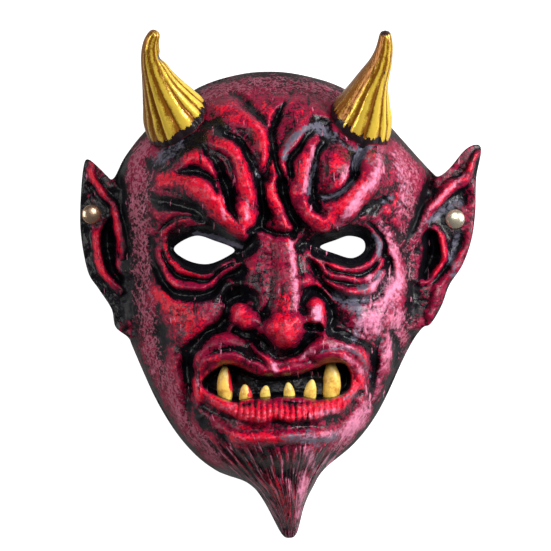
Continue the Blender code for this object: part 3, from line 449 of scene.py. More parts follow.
def spline(points, steps, closed=False):
    """A smooth line through the points, each stretch cut into so many steps."""
    points = np.asarray(points, float)
    count = len(points)
    line = []
    for i in range(count if closed else count - 1):
        if closed:
            a, b, c, d = (points[(i + k) % count] for k in (-1, 0, 1, 2))
        else:
            a, b, c, d = (points[min(max(i + k, 0), count - 1)] for k in (-1, 0, 1, 2))
        for t in np.arange(steps) / steps:
            line.append(
                0.5 * (2 * b + (c - a) * t + (2 * a - 5 * b + 4 * c - d) * t**2
                       + (3 * b - a - 3 * c + d) * t**3)
            )
    if not closed:
        line.append(points[-1])
    return np.array(line)


def nearest(line, x, y, closed=False):
    """The distance to a line, and how far along it the nearest point is, from 0 to 1."""
    starts = line if closed else line[:-1]
    ends = np.roll(line, -1, axis=0) if closed else line[1:]
    lengths = np.hypot(*(ends - starts).T)
    before = np.concatenate([[0.0], np.cumsum(lengths)])
    best = np.full(x.shape, np.inf)
    along = np.zeros(x.shape)
    for (sx, sy), (ex, ey), length, start in zip(starts, ends, lengths, before):
        dx, dy = ex - sx, ey - sy
        t = np.clip(((x - sx) * dx + (y - sy) * dy) / max(length**2, 1e-9), 0, 1)
        gap = np.hypot(x - sx - t * dx, y - sy - t * dy)
        nearer = gap < best
        best = np.where(nearer, gap, best)
        along = np.where(nearer, (start + t * length) / before[-1], along)
    return best, along


def depth_inside(ring, x, y):
    """The distance to a closed ring, above zero inside it and below zero outside it."""
    inside = np.zeros(x.shape, bool)
    for (sx, sy), (ex, ey) in zip(ring, np.roll(ring, -1, axis=0)):
        if sy == ey:
            continue
        crosses = (sy > y) != (ey > y)
        inside ^= crosses & (x < (ex - sx) * (y - sy) / (ey - sy) + sx)
    gap, _ = nearest(ring, x, y, closed=True)
    return np.where(inside, gap, -gap)


def near_box(ring, x, y, reach):
    low, high = ring.min(axis=0) - reach, ring.max(axis=0) + reach
    return (x > low[0]) & (x < high[0]) & (y > low[1]) & (y < high[1])


def bead(path, half_widths, heights, x, y, fullness):
    """A rounded bead along a smooth path, zero beyond its half width."""
    line = spline(path, 8)
    half_widths, heights = np.atleast_1d(half_widths), np.atleast_1d(heights)
    near = near_box(line, x, y, max(half_widths))
    bump = np.zeros(x.shape)
    gap, along = nearest(line, x[near], y[near])
    width = np.interp(along, np.linspace(0, 1, len(half_widths)), half_widths)
    height = np.interp(along, np.linspace(0, 1, len(heights)), heights)
    bulge, foot = fullness
    bump[near] = height * (1 - np.minimum(gap / width, 1) ** bulge) ** foot
    return bump


def blended(beads, x, y, fullness=FOLD_FULLNESS, sharpness=3.0):
    """Beads laid over each other so that they merge and don't pile up."""
    total = np.zeros(x.shape)
    for path, half_widths, heights in beads:
        total += bead(path, half_widths, heights, x, y, fullness) ** sharpness
    return total ** (1 / sharpness)


def soft_max(a, b, reach):
    overlap = np.clip(0.5 + 0.5 * (a - b) / reach, 0, 1)
    return a * overlap + b * (1 - overlap) + reach * overlap * (1 - overlap)


def smooth_step(t):
    t = np.clip(t, 0, 1)
    return t * t * (3 - 2 * t)


def grain(x, y, size, seed):
    """Soft random lumps of about the given size, from -1 to 1, the same on every run."""
    lattice = np.random.default_rng(seed).uniform(-1, 1, (GRAIN_LATTICE, GRAIN_LATTICE))
    u, v = x / size + GRAIN_SHIFT[0], y / size + GRAIN_SHIFT[1]
    i, j = np.floor(u).astype(int), np.floor(v).astype(int)
    s, t = smooth_step(u - i), smooth_step(v - j)
    corner = [lattice[(j + b) % GRAIN_LATTICE, (i + a) % GRAIN_LATTICE]
              for b in (0, 1) for a in (0, 1)]
    low = corner[0] * (1 - s) + corner[1] * s
    high = corner[2] * (1 - s) + corner[3] * s
    return low * (1 - t) + high * t


def off_ear(side, x, y):
    """How far a place lies past the notch above an ear or below its lobe, zero on the ear."""
    _, _, notch_x, notch_row, lobe_row = EARS[side]
    past_notch = (notch_x - side * x) * NOTCH_NORMAL[0] + (y - notch_row) * NOTCH_NORMAL[1]
    return np.maximum(np.maximum(past_notch, lobe_row - y), 0)


def near_rivet(x, y):
    near = np.zeros(x.shape)
    for px, py in RIVETS.values():
        inside = SEAT_RADIUS + SEAT_FADE - np.hypot(x - px, y - py)
        near = np.maximum(near, np.clip(inside / SEAT_FADE, 0, 1))
    return near


def across_face(x, y):
    """How far a place lies from the middle of the face, as a share of the half width there."""
    rows, left, right = np.array(HEAD_EDGES, float).T
    left_edge, right_edge = eased(y, rows, left), eased(y, rows, right)
    return (2 * x - left_edge - right_edge) / (right_edge - left_edge)


def seat_height(side):
    height, fall = EARS[side][:2]
    return height - fall * (abs(RIVETS[side][0]) - EAR_ROOT_X) + SEAT_RISE


def plain_form(x, y):
    """The head's dome with its big forms and the flat of each ear, without folds."""
    bulge, shoulder = SIDE_ROUNDING
    arch = (1 - np.minimum(np.abs(across_face(x, y)), 1) ** bulge) ** shoulder
    head = eased(y, *np.array(FACE_PROFILE, float).T) * arch
    head = head + blended(FORMS, x, y, FORM_FULLNESS)
    head = soft_max(head, np.full(x.shape, RIM_LIP), RIM_BLEND)
    for side, (height, fall, *_) in EARS.items():
        flap = height - fall * (side * x - EAR_ROOT_X) - NOTCH_STEEPNESS * off_ear(side, x, y)
        head = soft_max(head, np.where(side * x > EAR_FROM_X, flap, OFF_EAR), EAR_BLEND)
    for side in EARS:
        near = near_rivet(x, y) * (x * side > 0)
        head = head * (1 - near) + seat_height(side) * near
    return head


def beard(x, y):
    """How far across the beard a place lies, from -1 to 1, and how much beard grows there."""
    rows, middles, spreads = np.array(BEARD_SPREAD, float).T
    across = (x - np.interp(y, rows, middles)) / np.interp(y, rows, spreads)
    across = across + BEARD_WANDER * grain(x, y, WANDER_SIZE, SEED + 5)
    below = np.interp(x, *np.array(BEARD_ARCH, float).T) - y
    within = smooth_step((BEARD_WIDTH - abs(across)) / BEARD_THINNING)
    return across, smooth_step(below / BEARD_START) * within


def strands(x, y):
    """Fine strands that start below an arch under the lip and gather towards the beard's tip."""
    across, grown = beard(x, y)
    rows, _, spreads = np.array(BEARD_SPREAD, float).T
    spread = np.interp(y, rows, spreads)
    coarse = 1 - abs(np.sin(across * math.pi * STRANDS / 2))
    fine = 1 - abs(np.sin(across * math.pi * FINE_STRANDS / 2 + FINE_SHIFT))
    room = smooth_step((spread - FINE_FROM) / FINE_FADE)
    return grown * (STRAND_RISE * coarse + FINE_STRAND_RISE * room * fine)


mouth_ring = spline(MOUTH, 4, closed=True)


def into_mouth(x, y):
    return smooth_step(depth_inside(mouth_ring, x, y) / MOUTH_WALL)


def widened(beads, share):
    return [(path, share * np.array(widths), heights) for path, widths, heights in beads]


def folds(x, y):
    """Ridges and grooves, as two heights above zero, left out where a rivet is seated."""
    clear = 1 - near_rivet(x, y)
    pocket = into_mouth(x, y)
    hand_x = x + WAVER * grain(x, y, WAVER_SIZE, SEED + 2)
    hand_y = y + WAVER * grain(x, y, WAVER_SIZE, SEED + 3)
    ridges = blended(widened(RIDGES, FOLD_SPREAD), hand_x, hand_y)
    ridges = (ridges + strands(x, y)) * clear
    ridges += RIB_RISE * np.cos(math.tau * x / RIB_PITCH) * bead(*LIP_RIBS, x, y, RIB_FULLNESS)
    cuts = widened(GROOVES, GROOVE_SPREAD)
    grooves = blended(cuts, hand_x, hand_y, GROOVE_FULLNESS) * clear
    return ridges * (1 - pocket), np.maximum(grooves, MOUTH_DEPTH * pocket)


def skin_height(x, y, lumpy=1.0):
    ridges, grooves = folds(x, y)
    lumps = sum(rise * grain(x, y, size, SEED + draw) for rise, size, draw in LUMPS)
    level = plain_form(x, y) + ridges - grooves
    level = level + lumpy * lumps * (1 - near_rivet(x, y))
    return np.maximum(level, RIM_LIP)


outline_ring = spline(OUTLINE, 6, closed=True)
eye_rings = [spline(ring, 8, closed=True) for ring in EYE_HOLES]
shell_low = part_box("mask_shell")[0]
SHIFT_X = shell_low.x - float(spline(OUTLINE, 3, closed=True)[:, 0].min()) * UNIT
SHIFT_Y = shell_low.y + BEARD_TIP_ROW * UNIT


def placed(x, y, z):
    """Carving rows to metres in the frame that all pieces share."""
    return np.column_stack([x * UNIT + SHIFT_X, y * UNIT + SHIFT_Y, z * UNIT])


def sheet_cells():
    """A grid over the face, finer in the middle, without the cells off the outline or in an eye."""
    across, up = SKIN_CELLS
    warp = [np.linspace(-1, 1, count + 1) for count in (across, up)]
    warp = [line * (SHEET_WARP[0] + SHEET_WARP[1] * line**2) for line in warp]
    xs, ys = np.interp(warp[0], (-1, 1), FIELD_X), np.interp(warp[1], (-1, 1), FIELD_Y)
    x, y = np.meshgrid(xs, ys)
    mid_x = (x[:-1, :-1] + x[1:, 1:]) / 2
    mid_y = (y[:-1, :-1] + y[1:, 1:]) / 2
    kept = depth_inside(outline_ring, mid_x, mid_y) > 0
    for ring in eye_rings:
        near = near_box(ring, mid_x, mid_y, EYE_MARGIN)
        kept[near] &= depth_inside(ring, mid_x[near], mid_y[near]) < 0
    for _ in range(STAIR_PASSES):
        a, b, c, d = kept[:-1, :-1], kept[:-1, 1:], kept[1:, :-1], kept[1:, 1:]
        a[:] |= b & c & ~d & ~a
        b[:] |= a & d & ~b & ~c
    row, column = np.nonzero(kept)
    corner = row * (across + 1) + column
    quads = np.column_stack([corner, corner + 1, corner + across + 2, corner + across + 1])
    used, quads = np.unique(quads, return_inverse=True)
    return x.ravel()[used], y.ravel()[used], quads.reshape(-1, 4)


def quad_sides(quads):
    return np.concatenate([quads[:, [i, (i + 1) % 4]] for i in range(4)])


def edge_loops(quads):
    """The closed loops of corners round the sheet's free edges."""
    known = set(map(tuple, quad_sides(quads)))
    after = {a: b for a, b in known if (b, a) not in known}
    loops = []
    while after:
        start = next(iter(after))
        loop, at = [start], after.pop(start)
        while at != start:
            loop.append(at)
            at = after.pop(at)
        loops.append(np.array(loop))
    return loops


def laid_on(ring, x, y):
    """Corners of a loop moved onto a ring, evenly spread along it."""
    _, along = nearest(ring, x, y, closed=True)
    turn = np.diff(along, append=along[0])
    turn -= np.round(turn)
    climb = 1.0 if turn.sum() > 0 else -1.0
    along = along[0] + np.concatenate([[0.0], np.cumsum(turn)[:-1]])
    for _ in range(EVEN_PASSES):
        before, behind = np.roll(along, 1), np.roll(along, -1)
        before[0] -= climb
        behind[-1] += climb
        along = (along + (before + behind) / 2) / 2
    closed = np.vstack([ring, ring[:1]])
    lengths = np.concatenate([[0.0], np.cumsum(np.hypot(*np.diff(closed, axis=0).T))])
    at = (along % 1.0) * lengths[-1]
    return np.interp(at, lengths, closed[:, 0]), np.interp(at, lengths, closed[:, 1])


def neighbour_mean(level, edges, count):
    total = np.bincount(edges[:, 0], level[edges[:, 1]], count)
    total += np.bincount(edges[:, 1], level[edges[:, 0]], count)
    return total / np.bincount(edges.ravel(), minlength=count)


def raster_heights(read):
    xs, ys = (np.arange(low - RASTER_MARGIN, high + RASTER_MARGIN, RASTER_STEP)
              for low, high in (FIELD_X, FIELD_Y))
    return xs, ys, read(*np.meshgrid(xs, ys))


def read_raster(xs, ys, level, x, y):
    column = np.clip((x - xs[0]) / RASTER_STEP, 0, len(xs) - 1.001)
    row = np.clip((y - ys[0]) / RASTER_STEP, 0, len(ys) - 1.001)
    c, r = column.astype(int), row.astype(int)
    tc, tr = column - c, row - r
    low = level[r, c] * (1 - tc) + level[r, c + 1] * tc
    high = level[r + 1, c] * (1 - tc) + level[r + 1, c + 1] * tc
    return low * (1 - tr) + high * tr


def shifted(level, dx, dy):
    padded = np.pad(level, RASTER_PAD, mode="edge")
    rows, columns = level.shape
    row, column = RASTER_PAD + dy, RASTER_PAD + dx
    return padded[row:row + rows, column:column + columns]


def blurred(level, passes):
    for _ in range(passes):
        level = sum(shifted(level, dx, dy) for dx in (-1, 0, 1) for dy in (-1, 0, 1)) / 9
    return level


def shrunk(level):
    """The surface that a ball of the wall's thickness, rolled under a form, leaves."""
    wall = LATEX_WALL / UNIT
    lowest = np.full(level.shape, np.inf)
    for dx in range(-2, 3):
        for dy in range(-2, 3):
            spare = wall**2 - (dx**2 + dy**2) * RASTER_STEP**2
            if spare >= 0:
                lowest = np.minimum(lowest, shifted(level, dx, dy) - math.sqrt(spare))
    return lowest


def lining_raster():
    xs, ys, form = raster_heights(plain_form)
    _, _, skin = raster_heights(skin_height)
    _, _, cut = raster_heights(lambda x, y: folds(x, y)[1])
    widest = cut
    for dx in (-2, 0, 2):
        for dy in (-2, 0, 2):
            widest = np.maximum(widest, shifted(cut, dx, dy))
    inner = blurred(shrunk(form) - widest, LINING_PASSES)
    return xs, ys, np.minimum(inner, shrunk(skin) - LINING_EXTRA)


lining = lining_raster()


def eased_sheet():
    """The face's grid, with its free edges laid on the outline and the eyes, and evened there."""
    x, y, quads = sheet_cells()
    rings = [outline_ring] + eye_rings
    matched = []
    for loop in edge_loops(quads):
        gaps = [nearest(ring, x[loop], y[loop], closed=True)[0].mean() for ring in rings]
        ring = rings[int(np.argmin(gaps))]
        x[loop], y[loop] = laid_on(ring, x[loop], y[loop])
        matched.append((loop, ring is outline_ring))
    count = len(x)
    edges = np.unique(np.sort(quad_sides(quads), axis=1), axis=0)
    fixed = np.zeros(count, bool)
    for loop, _ in matched:
        fixed[loop] = True
    ease = fixed.astype(float)
    for _ in range(EASE_REACH):
        ease = np.maximum(ease, neighbour_mean(ease, edges, count) * EASE_GAIN)
    ease = np.clip(ease, 0, 1) * ~fixed
    for _ in range(EASE_PASSES):
        x = x + ease * EASE_SHARE * (neighbour_mean(x, edges, count) - x)
        y = y + ease * EASE_SHARE * (neighbour_mean(y, edges, count) - y)
    return x, y, quads, edges, matched


def inward_at(x, y):
    """The distance to the outline, and the direction square to it that leads into the face."""
    gap, along = nearest(outline_ring, x, y, closed=True)
    travel = np.roll(outline_ring, -1, axis=0) - np.roll(outline_ring, 1, axis=0)
    travel /= np.hypot(*travel.T)[:, None]
    inward = np.column_stack([travel[:, 1], -travel[:, 0]])
    wrapped = np.vstack([inward, inward[:1]])
    lengths = np.hypot(*(np.roll(outline_ring, -1, axis=0) - outline_ring).T)
    starts = np.concatenate([[0.0], np.cumsum(lengths)]) / lengths.sum()
    return gap, np.interp(along, starts, wrapped[:, 0]), np.interp(along, starts, wrapped[:, 1])


def in_scene(name, data):
    """A new object of the scene that holds the given mesh, lamp or camera."""
    made = bpy.data.objects.new(name, data)
    bpy.context.scene.collection.objects.link(made)
    return made


def build_face():
    """The skin, its lining and the rims that join them, and what the coats need of the skin."""
    x, y, quads, edges, matched = eased_sheet()
    count = len(x)
    z = skin_height(x, y)
    wall = LATEX_WALL / UNIT
    gap, inward_x, inward_y = inward_at(x, y)
    on_ear = np.where(x < 0, off_ear(-1, x, y), off_ear(1, x, y)) == 0
    on_ear &= abs(x) > EAR_FROM_X
    inset = np.where(on_ear, EAR_INSET, wall) * np.clip(1 - gap / RIM_REACH, 0, 1)
    lx, ly = x + inward_x * inset, y + inward_y * inset
    lz = np.minimum(read_raster(*lining, lx, ly), z - THINNEST_WALL * wall)
    lz = np.maximum(lz, LINING_FLOOR)
    places = [placed(x, y, z), placed(lx, ly, lz)]
    faces = [quads, quads[:, ::-1] + count]
    total = 2 * count
    for loop, is_outline in matched:
        rims = []
        if is_outline:
            ear = on_ear[loop]
            floor = np.where(ear, lz[loop], 0.0)
            step_x = inward_x[loop] * RIM_BEVEL * ~ear
            step_y = inward_y[loop] * RIM_BEVEL * ~ear
            outer_edge, inner_edge = (floor + np.where(ear, edge, 0.0) for edge in EAR_EDGES)
            rims = [
                (x[loop], y[loop], np.minimum(floor + RIM_BEVEL, z[loop] - RIM_SHOULDER)),
                (x[loop] + step_x, y[loop] + step_y, outer_edge),
                (lx[loop] - step_x, ly[loop] - step_y, inner_edge),
            ]
        rows = [loop]
        for rim in rims:
            places.append(placed(*rim))
            rows.append(np.arange(total, total + len(loop)))
            total += len(loop)
        rows.append(loop + count)
        for upper, lower in zip(rows, rows[1:]):
            faces.append(np.column_stack([upper, lower, np.roll(lower, -1), np.roll(upper, -1)]))
    mesh = bpy.data.meshes.new("mask_face")
    mesh.from_pydata(np.vstack(places).tolist(), [], np.vstack(faces).tolist())
    mesh.validate()
    made = in_scene("mask_face", mesh)
    on_rim = np.concatenate([loop for loop, _ in matched]) + count
    inner = np.setdiff1d(np.arange(count, 2 * count), on_rim)
    made.vertex_groups.new(name="lining").add(inner.tolist(), 1.0, "REPLACE")
    return made, x, y, z, edges


face, skin_x, skin_y, skin_z, skin_edges = build_face()
skin_count = len(skin_x)


def zone(strokes):
    """How strongly a coat was laid on at each corner of the skin."""
    return np.clip(blended(strokes, skin_x, skin_y, STROKE_FULLNESS), 0, THICKEST)


# How far the skin stands above its surroundings, near and far: passes, share, full height
RELIEFS = [(4, 0.2, 1.2), (30, 0.5, 4.5), (160, 0.4, 10.0)]
RAISED_LIMIT = 1.5


def relief():
    level, total, done = skin_z.copy(), 0.0, 0
    for passes, share, full_height in RELIEFS:
        for _ in range(passes - done):
            level = neighbour_mean(level, skin_edges, skin_count)
        done = passes
        total = total + share * (skin_z - level) / full_height
    return total


def stored_on(mesh, label, values):
    """A number for each corner of a mesh, which its material reads by name."""
    layer = mesh.attributes.new(label, "FLOAT", "POINT").data
    layer.foreach_set("value", values.astype(np.float32))


low_start = spline(OUTLINE[BEARD_TIP_POINT:] + OUTLINE[:BEARD_TIP_POINT], 6, closed=True)
rim_gap, rim_along = nearest(low_start, skin_x, skin_y, closed=True)
eye_gap = np.min([nearest(ring, skin_x, skin_y, closed=True)[0] for ring in eye_rings], axis=0)
eye_soot = THICKEST * smooth_step((EYE_SOOT - eye_gap) / EYE_SOOT_FADE)
outline_gap = nearest(outline_ring, skin_x, skin_y, closed=True)[0]
near_rim = smooth_step((RIM_WINE_FROM - outline_gap) / RIM_WINE_FADE)
beard_across, beard_grown = beard(skin_x, skin_y)
# The dark zones hold black paint and painted shade, the sheen zones a painted sheen, the highlight zones
# painted highlights
weights = {
    "raised": np.clip(relief(), -RAISED_LIMIT, RAISED_LIMIT),
    "dark_paint_and_shade": np.maximum(zone(DARK_PAINT_AND_SHADE), eye_soot),
    "scarlet": zone(SCARLET),
    "painted_highlight": zone(PAINTED_HIGHLIGHTS),
    "painted_sheen": zone(PAINTED_SHEEN),
    "wine": np.maximum(zone(WINE), RIM_WINE * near_rim * (abs(skin_x) < RIM_WINE_SIDE)),
    "ashen": zone(ASHEN) * (near_rivet(skin_x, skin_y) == 0),
    "beard_across": beard_across,
    "beard_along": skin_y,
    "beard": beard_grown,
    "rim_gap": rim_gap,
    "rim_along": rim_along * RIM_ROUND,
    "outside": np.ones(skin_count),
}
for label, values in weights.items():
    whole = np.zeros(len(face.data.vertices))
    whole[:skin_count] = values
    stored_on(face.data, label, whole)


class Wiring:
    """A tree of nodes, with short ways to add its nodes and their links."""

    def __init__(self, tree):
        self.tree = tree

    def feed(self, socket, value):
        if isinstance(value, bpy.types.NodeSocket):
            self.tree.links.new(value, socket)
        else:
            socket.default_value = value

    def node(self, kind, output=0, settings=(), **inputs):
        made = self.tree.nodes.new(kind)
        for key, value in settings:
            setattr(made, key, value)
        for name, value in inputs.items():
            self.feed(made.inputs[name.replace("_", " ")], value)
        return made.outputs[output]

    def maths(self, operation, *values):
        made = self.tree.nodes.new("ShaderNodeMath")
        made.operation = operation
        for socket, value in zip(made.inputs, values):
            self.feed(socket, value)
        return made.outputs[0]


class Finish(Wiring):
    """A material's node tree, with the nodes that paint needs."""

    def __init__(self, name):
        self.material = bpy.data.materials.new(name)
        self.material.use_nodes = True
        super().__init__(self.material.node_tree)
        self.shader = self.tree.nodes["Principled BSDF"]

    def summed(self, *terms):
        """The sum of (source, share) pairs and plain numbers."""
        total = 0.0
        for term in terms:
            part = self.maths("MULTIPLY", *term) if isinstance(term, tuple) else term
            total = self.maths("ADD", total, part)
        return total

    def weight(self, name):
        made = self.tree.nodes.new("ShaderNodeAttribute")
        made.attribute_name = name
        return made.outputs["Fac"]

    def place(self):
        return self.node("ShaderNodeTexCoord", "Object")

    def noise(self, vector, scale, detail=3.0):
        return self.node("ShaderNodeTexNoise", "Fac", Vector=vector, Scale=scale, Detail=detail)

    def veins(self, vector, scale):
        """Next to nothing on a network of fine winding lines, more between them."""
        return self.maths("ABSOLUTE", self.maths("SUBTRACT", self.noise(vector, scale, 2.0), 0.5))

    def laid(self, under, over, cover):
        """One coat over another, as far as the cover says."""
        made = self.tree.nodes.new("ShaderNodeMix")
        made.data_type = "RGBA"
        self.feed(made.inputs[0], cover)
        self.feed(made.inputs[6], under)
        self.feed(made.inputs[7], over)
        return made.outputs[2]

    def brushed(self, level, vector, scale, grit=1.0, softness=0.25):
        """Where a dry brush leaves paint: the shared group, with this coat's own values."""
        made = self.tree.nodes.new("ShaderNodeGroup")
        made.node_tree = dry_brush
        for name, value in (("Level", level), ("Vector", vector), ("Grain Scale", scale),
                            ("Grit", grit), ("Softness", softness)):
            self.feed(made.inputs[name], value)
        return made.outputs["Cover"]

    def stretched(self, across, along):
        """Places on a brush's path, from (weight's name, share) pairs across and along it."""
        x, y = (self.maths("MULTIPLY", self.weight(name), share) for name, share in (across, along))
        return self.node("ShaderNodeCombineXYZ", X=x, Y=y, Z=0.0)

    def finished(self, colour, roughness, bumps, strength, depth, metallic=0.0):
        """The material with its colour, its gloss and the fine bumps of its surface."""
        self.feed(self.shader.inputs["Base Color"], colour)
        self.feed(self.shader.inputs["Roughness"], roughness)
        self.feed(self.shader.inputs["Metallic"], metallic)
        bump = self.node("ShaderNodeBump", "Normal", Strength=strength, Distance=depth, Height=bumps)
        self.feed(self.shader.inputs["Normal"], bump)
        return self.material


def dry_brush_group():
    """Paint dragged over a rough surface: it takes on what is raised, in specks."""
    made = Wiring(bpy.data.node_groups.new("dry_brush", "ShaderNodeTree"))
    for name, kind in (("Level", "Float"), ("Vector", "Vector"), ("Grain Scale", "Float"),
                       ("Grit", "Float"), ("Softness", "Float")):
        made.tree.interface.new_socket(name, in_out="INPUT", socket_type=f"NodeSocket{kind}")
    made.tree.interface.new_socket("Cover", in_out="OUTPUT", socket_type="NodeSocketFloat")
    given = made.tree.nodes.new("NodeGroupInput").outputs
    grains = made.node("ShaderNodeTexNoise", "Fac", Vector=given["Vector"], Scale=given["Grain Scale"],
                       Detail=4.0, Roughness=0.62)
    lifted = made.maths("MULTIPLY_ADD", made.maths("SUBTRACT", grains, 0.5), given["Grit"],
                        given["Level"])
    cover = made.node("ShaderNodeMapRange", "Result", (("interpolation_type", "SMOOTHSTEP"),),
                      Value=lifted, From_Min=made.maths("SUBTRACT", 0.5, given["Softness"]),
                      From_Max=made.maths("ADD", 0.5, given["Softness"]))
    made.feed(made.tree.nodes.new("NodeGroupOutput").inputs["Cover"], cover)
    return made.tree


dry_brush = dry_brush_group()

# Colours of the coats, from the first to the last
BLACK = (0.003, 0.003, 0.005, 1)
PLUM = (0.060, 0.006, 0.020, 1)
CRIMSON = (0.26, 0.003, 0.036, 1)
SCARLET_PAINT = (0.74, 0.004, 0.030, 1)
# Colour of the painted glints on the beard's strands
GLINT_PINK = (0.66, 0.20, 0.31, 1)
# Colour of the painted sheen, a grey-blue reflection on the black
SHEEN = (0.125, 0.12, 0.165, 1)
MAUVE = (0.40, 0.105, 0.16, 1)
# Colour of the painted highlights
HIGHLIGHT_PINK = (0.80, 0.26, 0.42, 1)
INSIDE = (0.022, 0.008, 0.010, 1)


# The coats in order: paint, shares of the weights, plain level, cap, brush path, grain, grit,
# softness, strength
COATS = {
    "plum": (PLUM, {"raised": 0.65, "dark_paint_and_shade": -0.6, "drift": 0.8}, 0.44, None,
             "place", 420.0, 1.4, 0.25, 1.0),
    "crimson": (CRIMSON, {"low": 0.62, "dark_paint_and_shade": -0.80, "scarlet": 0.34, "ashen": -0.15, "wine": 0.45,
                          "drift": 0.9}, 0.42, 0.80, "place", 620.0, 2.2, 0.16, 1.0),
    "scarlet": (SCARLET_PAINT, {"raised": 0.46, "dark_paint_and_shade": -0.7, "scarlet": 0.66, "ashen": -0.35,
                                "drift": 1.1}, -0.05, 0.68, "place", 700.0, 2.4, 0.12, 1.0),
    "cracks": (BLACK, {"veins_300": -6.0, "raised": -0.35, "drift": -0.8}, 0.80, None,
               "place", 1500.0, 0.9, 0.16, 0.8),
    "beard_gaps": (BLACK, {"beard": 0.72, "scarlet": -0.16}, -0.06, None,
                   "strand", 1.0, 4.6, 0.10, 0.92),
    # Painted glints along the beard's strands
    "beard_glints": (GLINT_PINK, {"beard": 0.46, "painted_highlight": 0.50}, -0.30, None,
                     "strand", 1.5, 4.6, 0.08, 0.85),
    # Painted sheen over the black
    "sheen": (SHEEN, {"painted_sheen": 0.95, "scarlet": -0.4, "drift": 0.5}, -0.05, None,
              "place", 520.0, 2.0, 0.3, 1.0),
    "mauve": (MAUVE, {"ashen": 0.72, "raised": 0.20, "dark_paint_and_shade": -0.6, "scarlet": -0.3,
                      "veins_620": -3.4, "veins_330": -3.4}, 0.16, None,
              "stroke", 1.0, 1.3, 0.24, 1.0),
    # Painted highlights in pinkish white
    "pink_highlight": (HIGHLIGHT_PINK, {"painted_highlight": 0.86, "raised": 0.30, "dark_paint_and_shade": -0.5, "drift": 0.6}, -0.26, None,
             "place", 520.0, 1.7, 0.42, 1.0),
}
LOWEST_CRIMSON = -0.6
PITS = [(190.0, 2.0, 0.9), (420.0, 4.0, 0.8), (1500.0, 2.0, 0.3)]


def painted_latex():
    """The coats over each other, each brushed where the weights of its places say."""
    coat = Finish("painted_latex")
    place = coat.place()
    paths = {"place": place, "stroke": coat.stretched(("rim_gap", 0.34), ("rim_along", 0.045)),
             "strand": coat.stretched(("beard_across", 14.0), ("beard_along", 0.028))}
    found = {name: coat.weight(name)
             for name in ("raised", "scarlet", "wine", "painted_highlight", "painted_sheen", "ashen", "beard")}
    # The dark zones, black paint and painted shade, broken up by noise
    found["dark_paint_and_shade"] = coat.maths("MULTIPLY", coat.weight("dark_paint_and_shade"),
                               coat.summed((coat.noise(place, 130.0), 3.4), -0.7))
    found["drift"] = coat.summed((coat.noise(place, 60.0), 1.0), (coat.noise(place, 210.0), 0.8), -0.9)
    found["low"] = coat.maths("MAXIMUM", found["raised"], LOWEST_CRIMSON)
    for scale in (300, 330, 620):
        found[f"veins_{scale}"] = coat.veins(place, float(scale))
    colour, covers = BLACK, {}
    for name, (paint, shares, plain, cap, path, grains, grit, softness, strength) in COATS.items():
        level = coat.summed(*((found[weight], share) for weight, share in shares.items()), plain)
        if cap is not None:
            level = coat.maths("MINIMUM", level, cap)
        cover = coat.brushed(level, paths[path], grains, grit, softness)
        covers[name] = cover if strength == 1 else coat.maths("MULTIPLY", cover, strength)
        colour = coat.laid(colour, paint, covers[name])
    colour = coat.laid(INSIDE, colour, coat.weight("outside"))
    coat.shader.inputs["Specular IOR Level"].default_value = 0.27
    roughness = coat.summed((covers["crimson"], 0.10), (found["ashen"], 0.34), 0.26)
    pits = coat.summed(*((coat.noise(place, scale, detail), share) for scale, detail, share in PITS))
    return coat.finished(colour, roughness, pits, 0.6, 0.0008)


face.data.materials.append(painted_latex())
thinner = face.modifiers.new("thin_lining", "DECIMATE")
thinner.ratio = FACE_TRIANGLES / (2.0 * len(face.data.polygons))
thinner.vertex_group = "lining"
settled = face.evaluated_get(bpy.context.evaluated_depsgraph_get())
thinned = bpy.data.meshes.new_from_object(settled)
face.modifiers.clear()
face.data = thinned
face.data.name = "mask_face"
face.data.shade_smooth()
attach(face, "root")
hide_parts("mask_shell")

# The teeth of the lower jaw: two fangs and four pegs
# They are cast with the lip as part of the shell and painted a stained yellow, so they have
# their own mesh here and stand for the same solid. Each is turned, and leans out of the mouth.
TEETH = {
    "fang_left": (-54, -121, -56, -80, 16),
    "peg_left": (-37, -120, -36, -99, 13),
    "peg_mid_left": (-14, -119, -15, -100, 11),
    "peg_middle": (7, -120, 7, -97, 12),
    "peg_right": (29, -120, 31, -94, 13),
    "fang_right": (49, -122, 50, -75, 18.5),
}
TOOTH_ROW = -103.0
TOOTH_BACK = 8.0
TOOTH_LEAN = 7.0
TOOTH_PROFILE = [(0.0, 1.0), (0.24, 0.985), (0.44, 0.93), (0.64, 0.84), (0.82, 0.72), (0.95, 0.58),
                 (1.0, 0.44), (0.95, 0.31), (0.80, 0.20), (0.66, 0.12), (0.76, 0.08), (1.0, 0.02),
                 (0.92, -0.05), (0.0, -0.08)]
TOOTH_SIDES, TOOTH_STEPS = 28, 34
TOOTH_WOBBLE = 0.07
TOOTH_BEND = 1.3
SPLASHED = {"fang_left": 0.9, "peg_left": 0.62}
CROWN_WEAR = 0.7
ENAMEL = (0.98, 0.68, 0.13, 1)
OLD_ENAMEL = (0.50, 0.22, 0.03, 1)
WORN_ENAMEL = (0.80, 0.60, 0.16, 1)
# Painted shade, brown, at the foot of each tooth where it meets the lip
FOOT_SHADE = (0.10, 0.02, 0.01, 1)


def as_polyline(name, points):
    """Points joined in order, as the mesh that a tree of nodes starts from."""
    mesh = bpy.data.meshes.new(name)
    mesh.from_pydata([tuple(map(float, point)) for point in points],
                     [(i, i + 1) for i in range(len(points) - 1)], [])
    return in_scene(name, mesh)


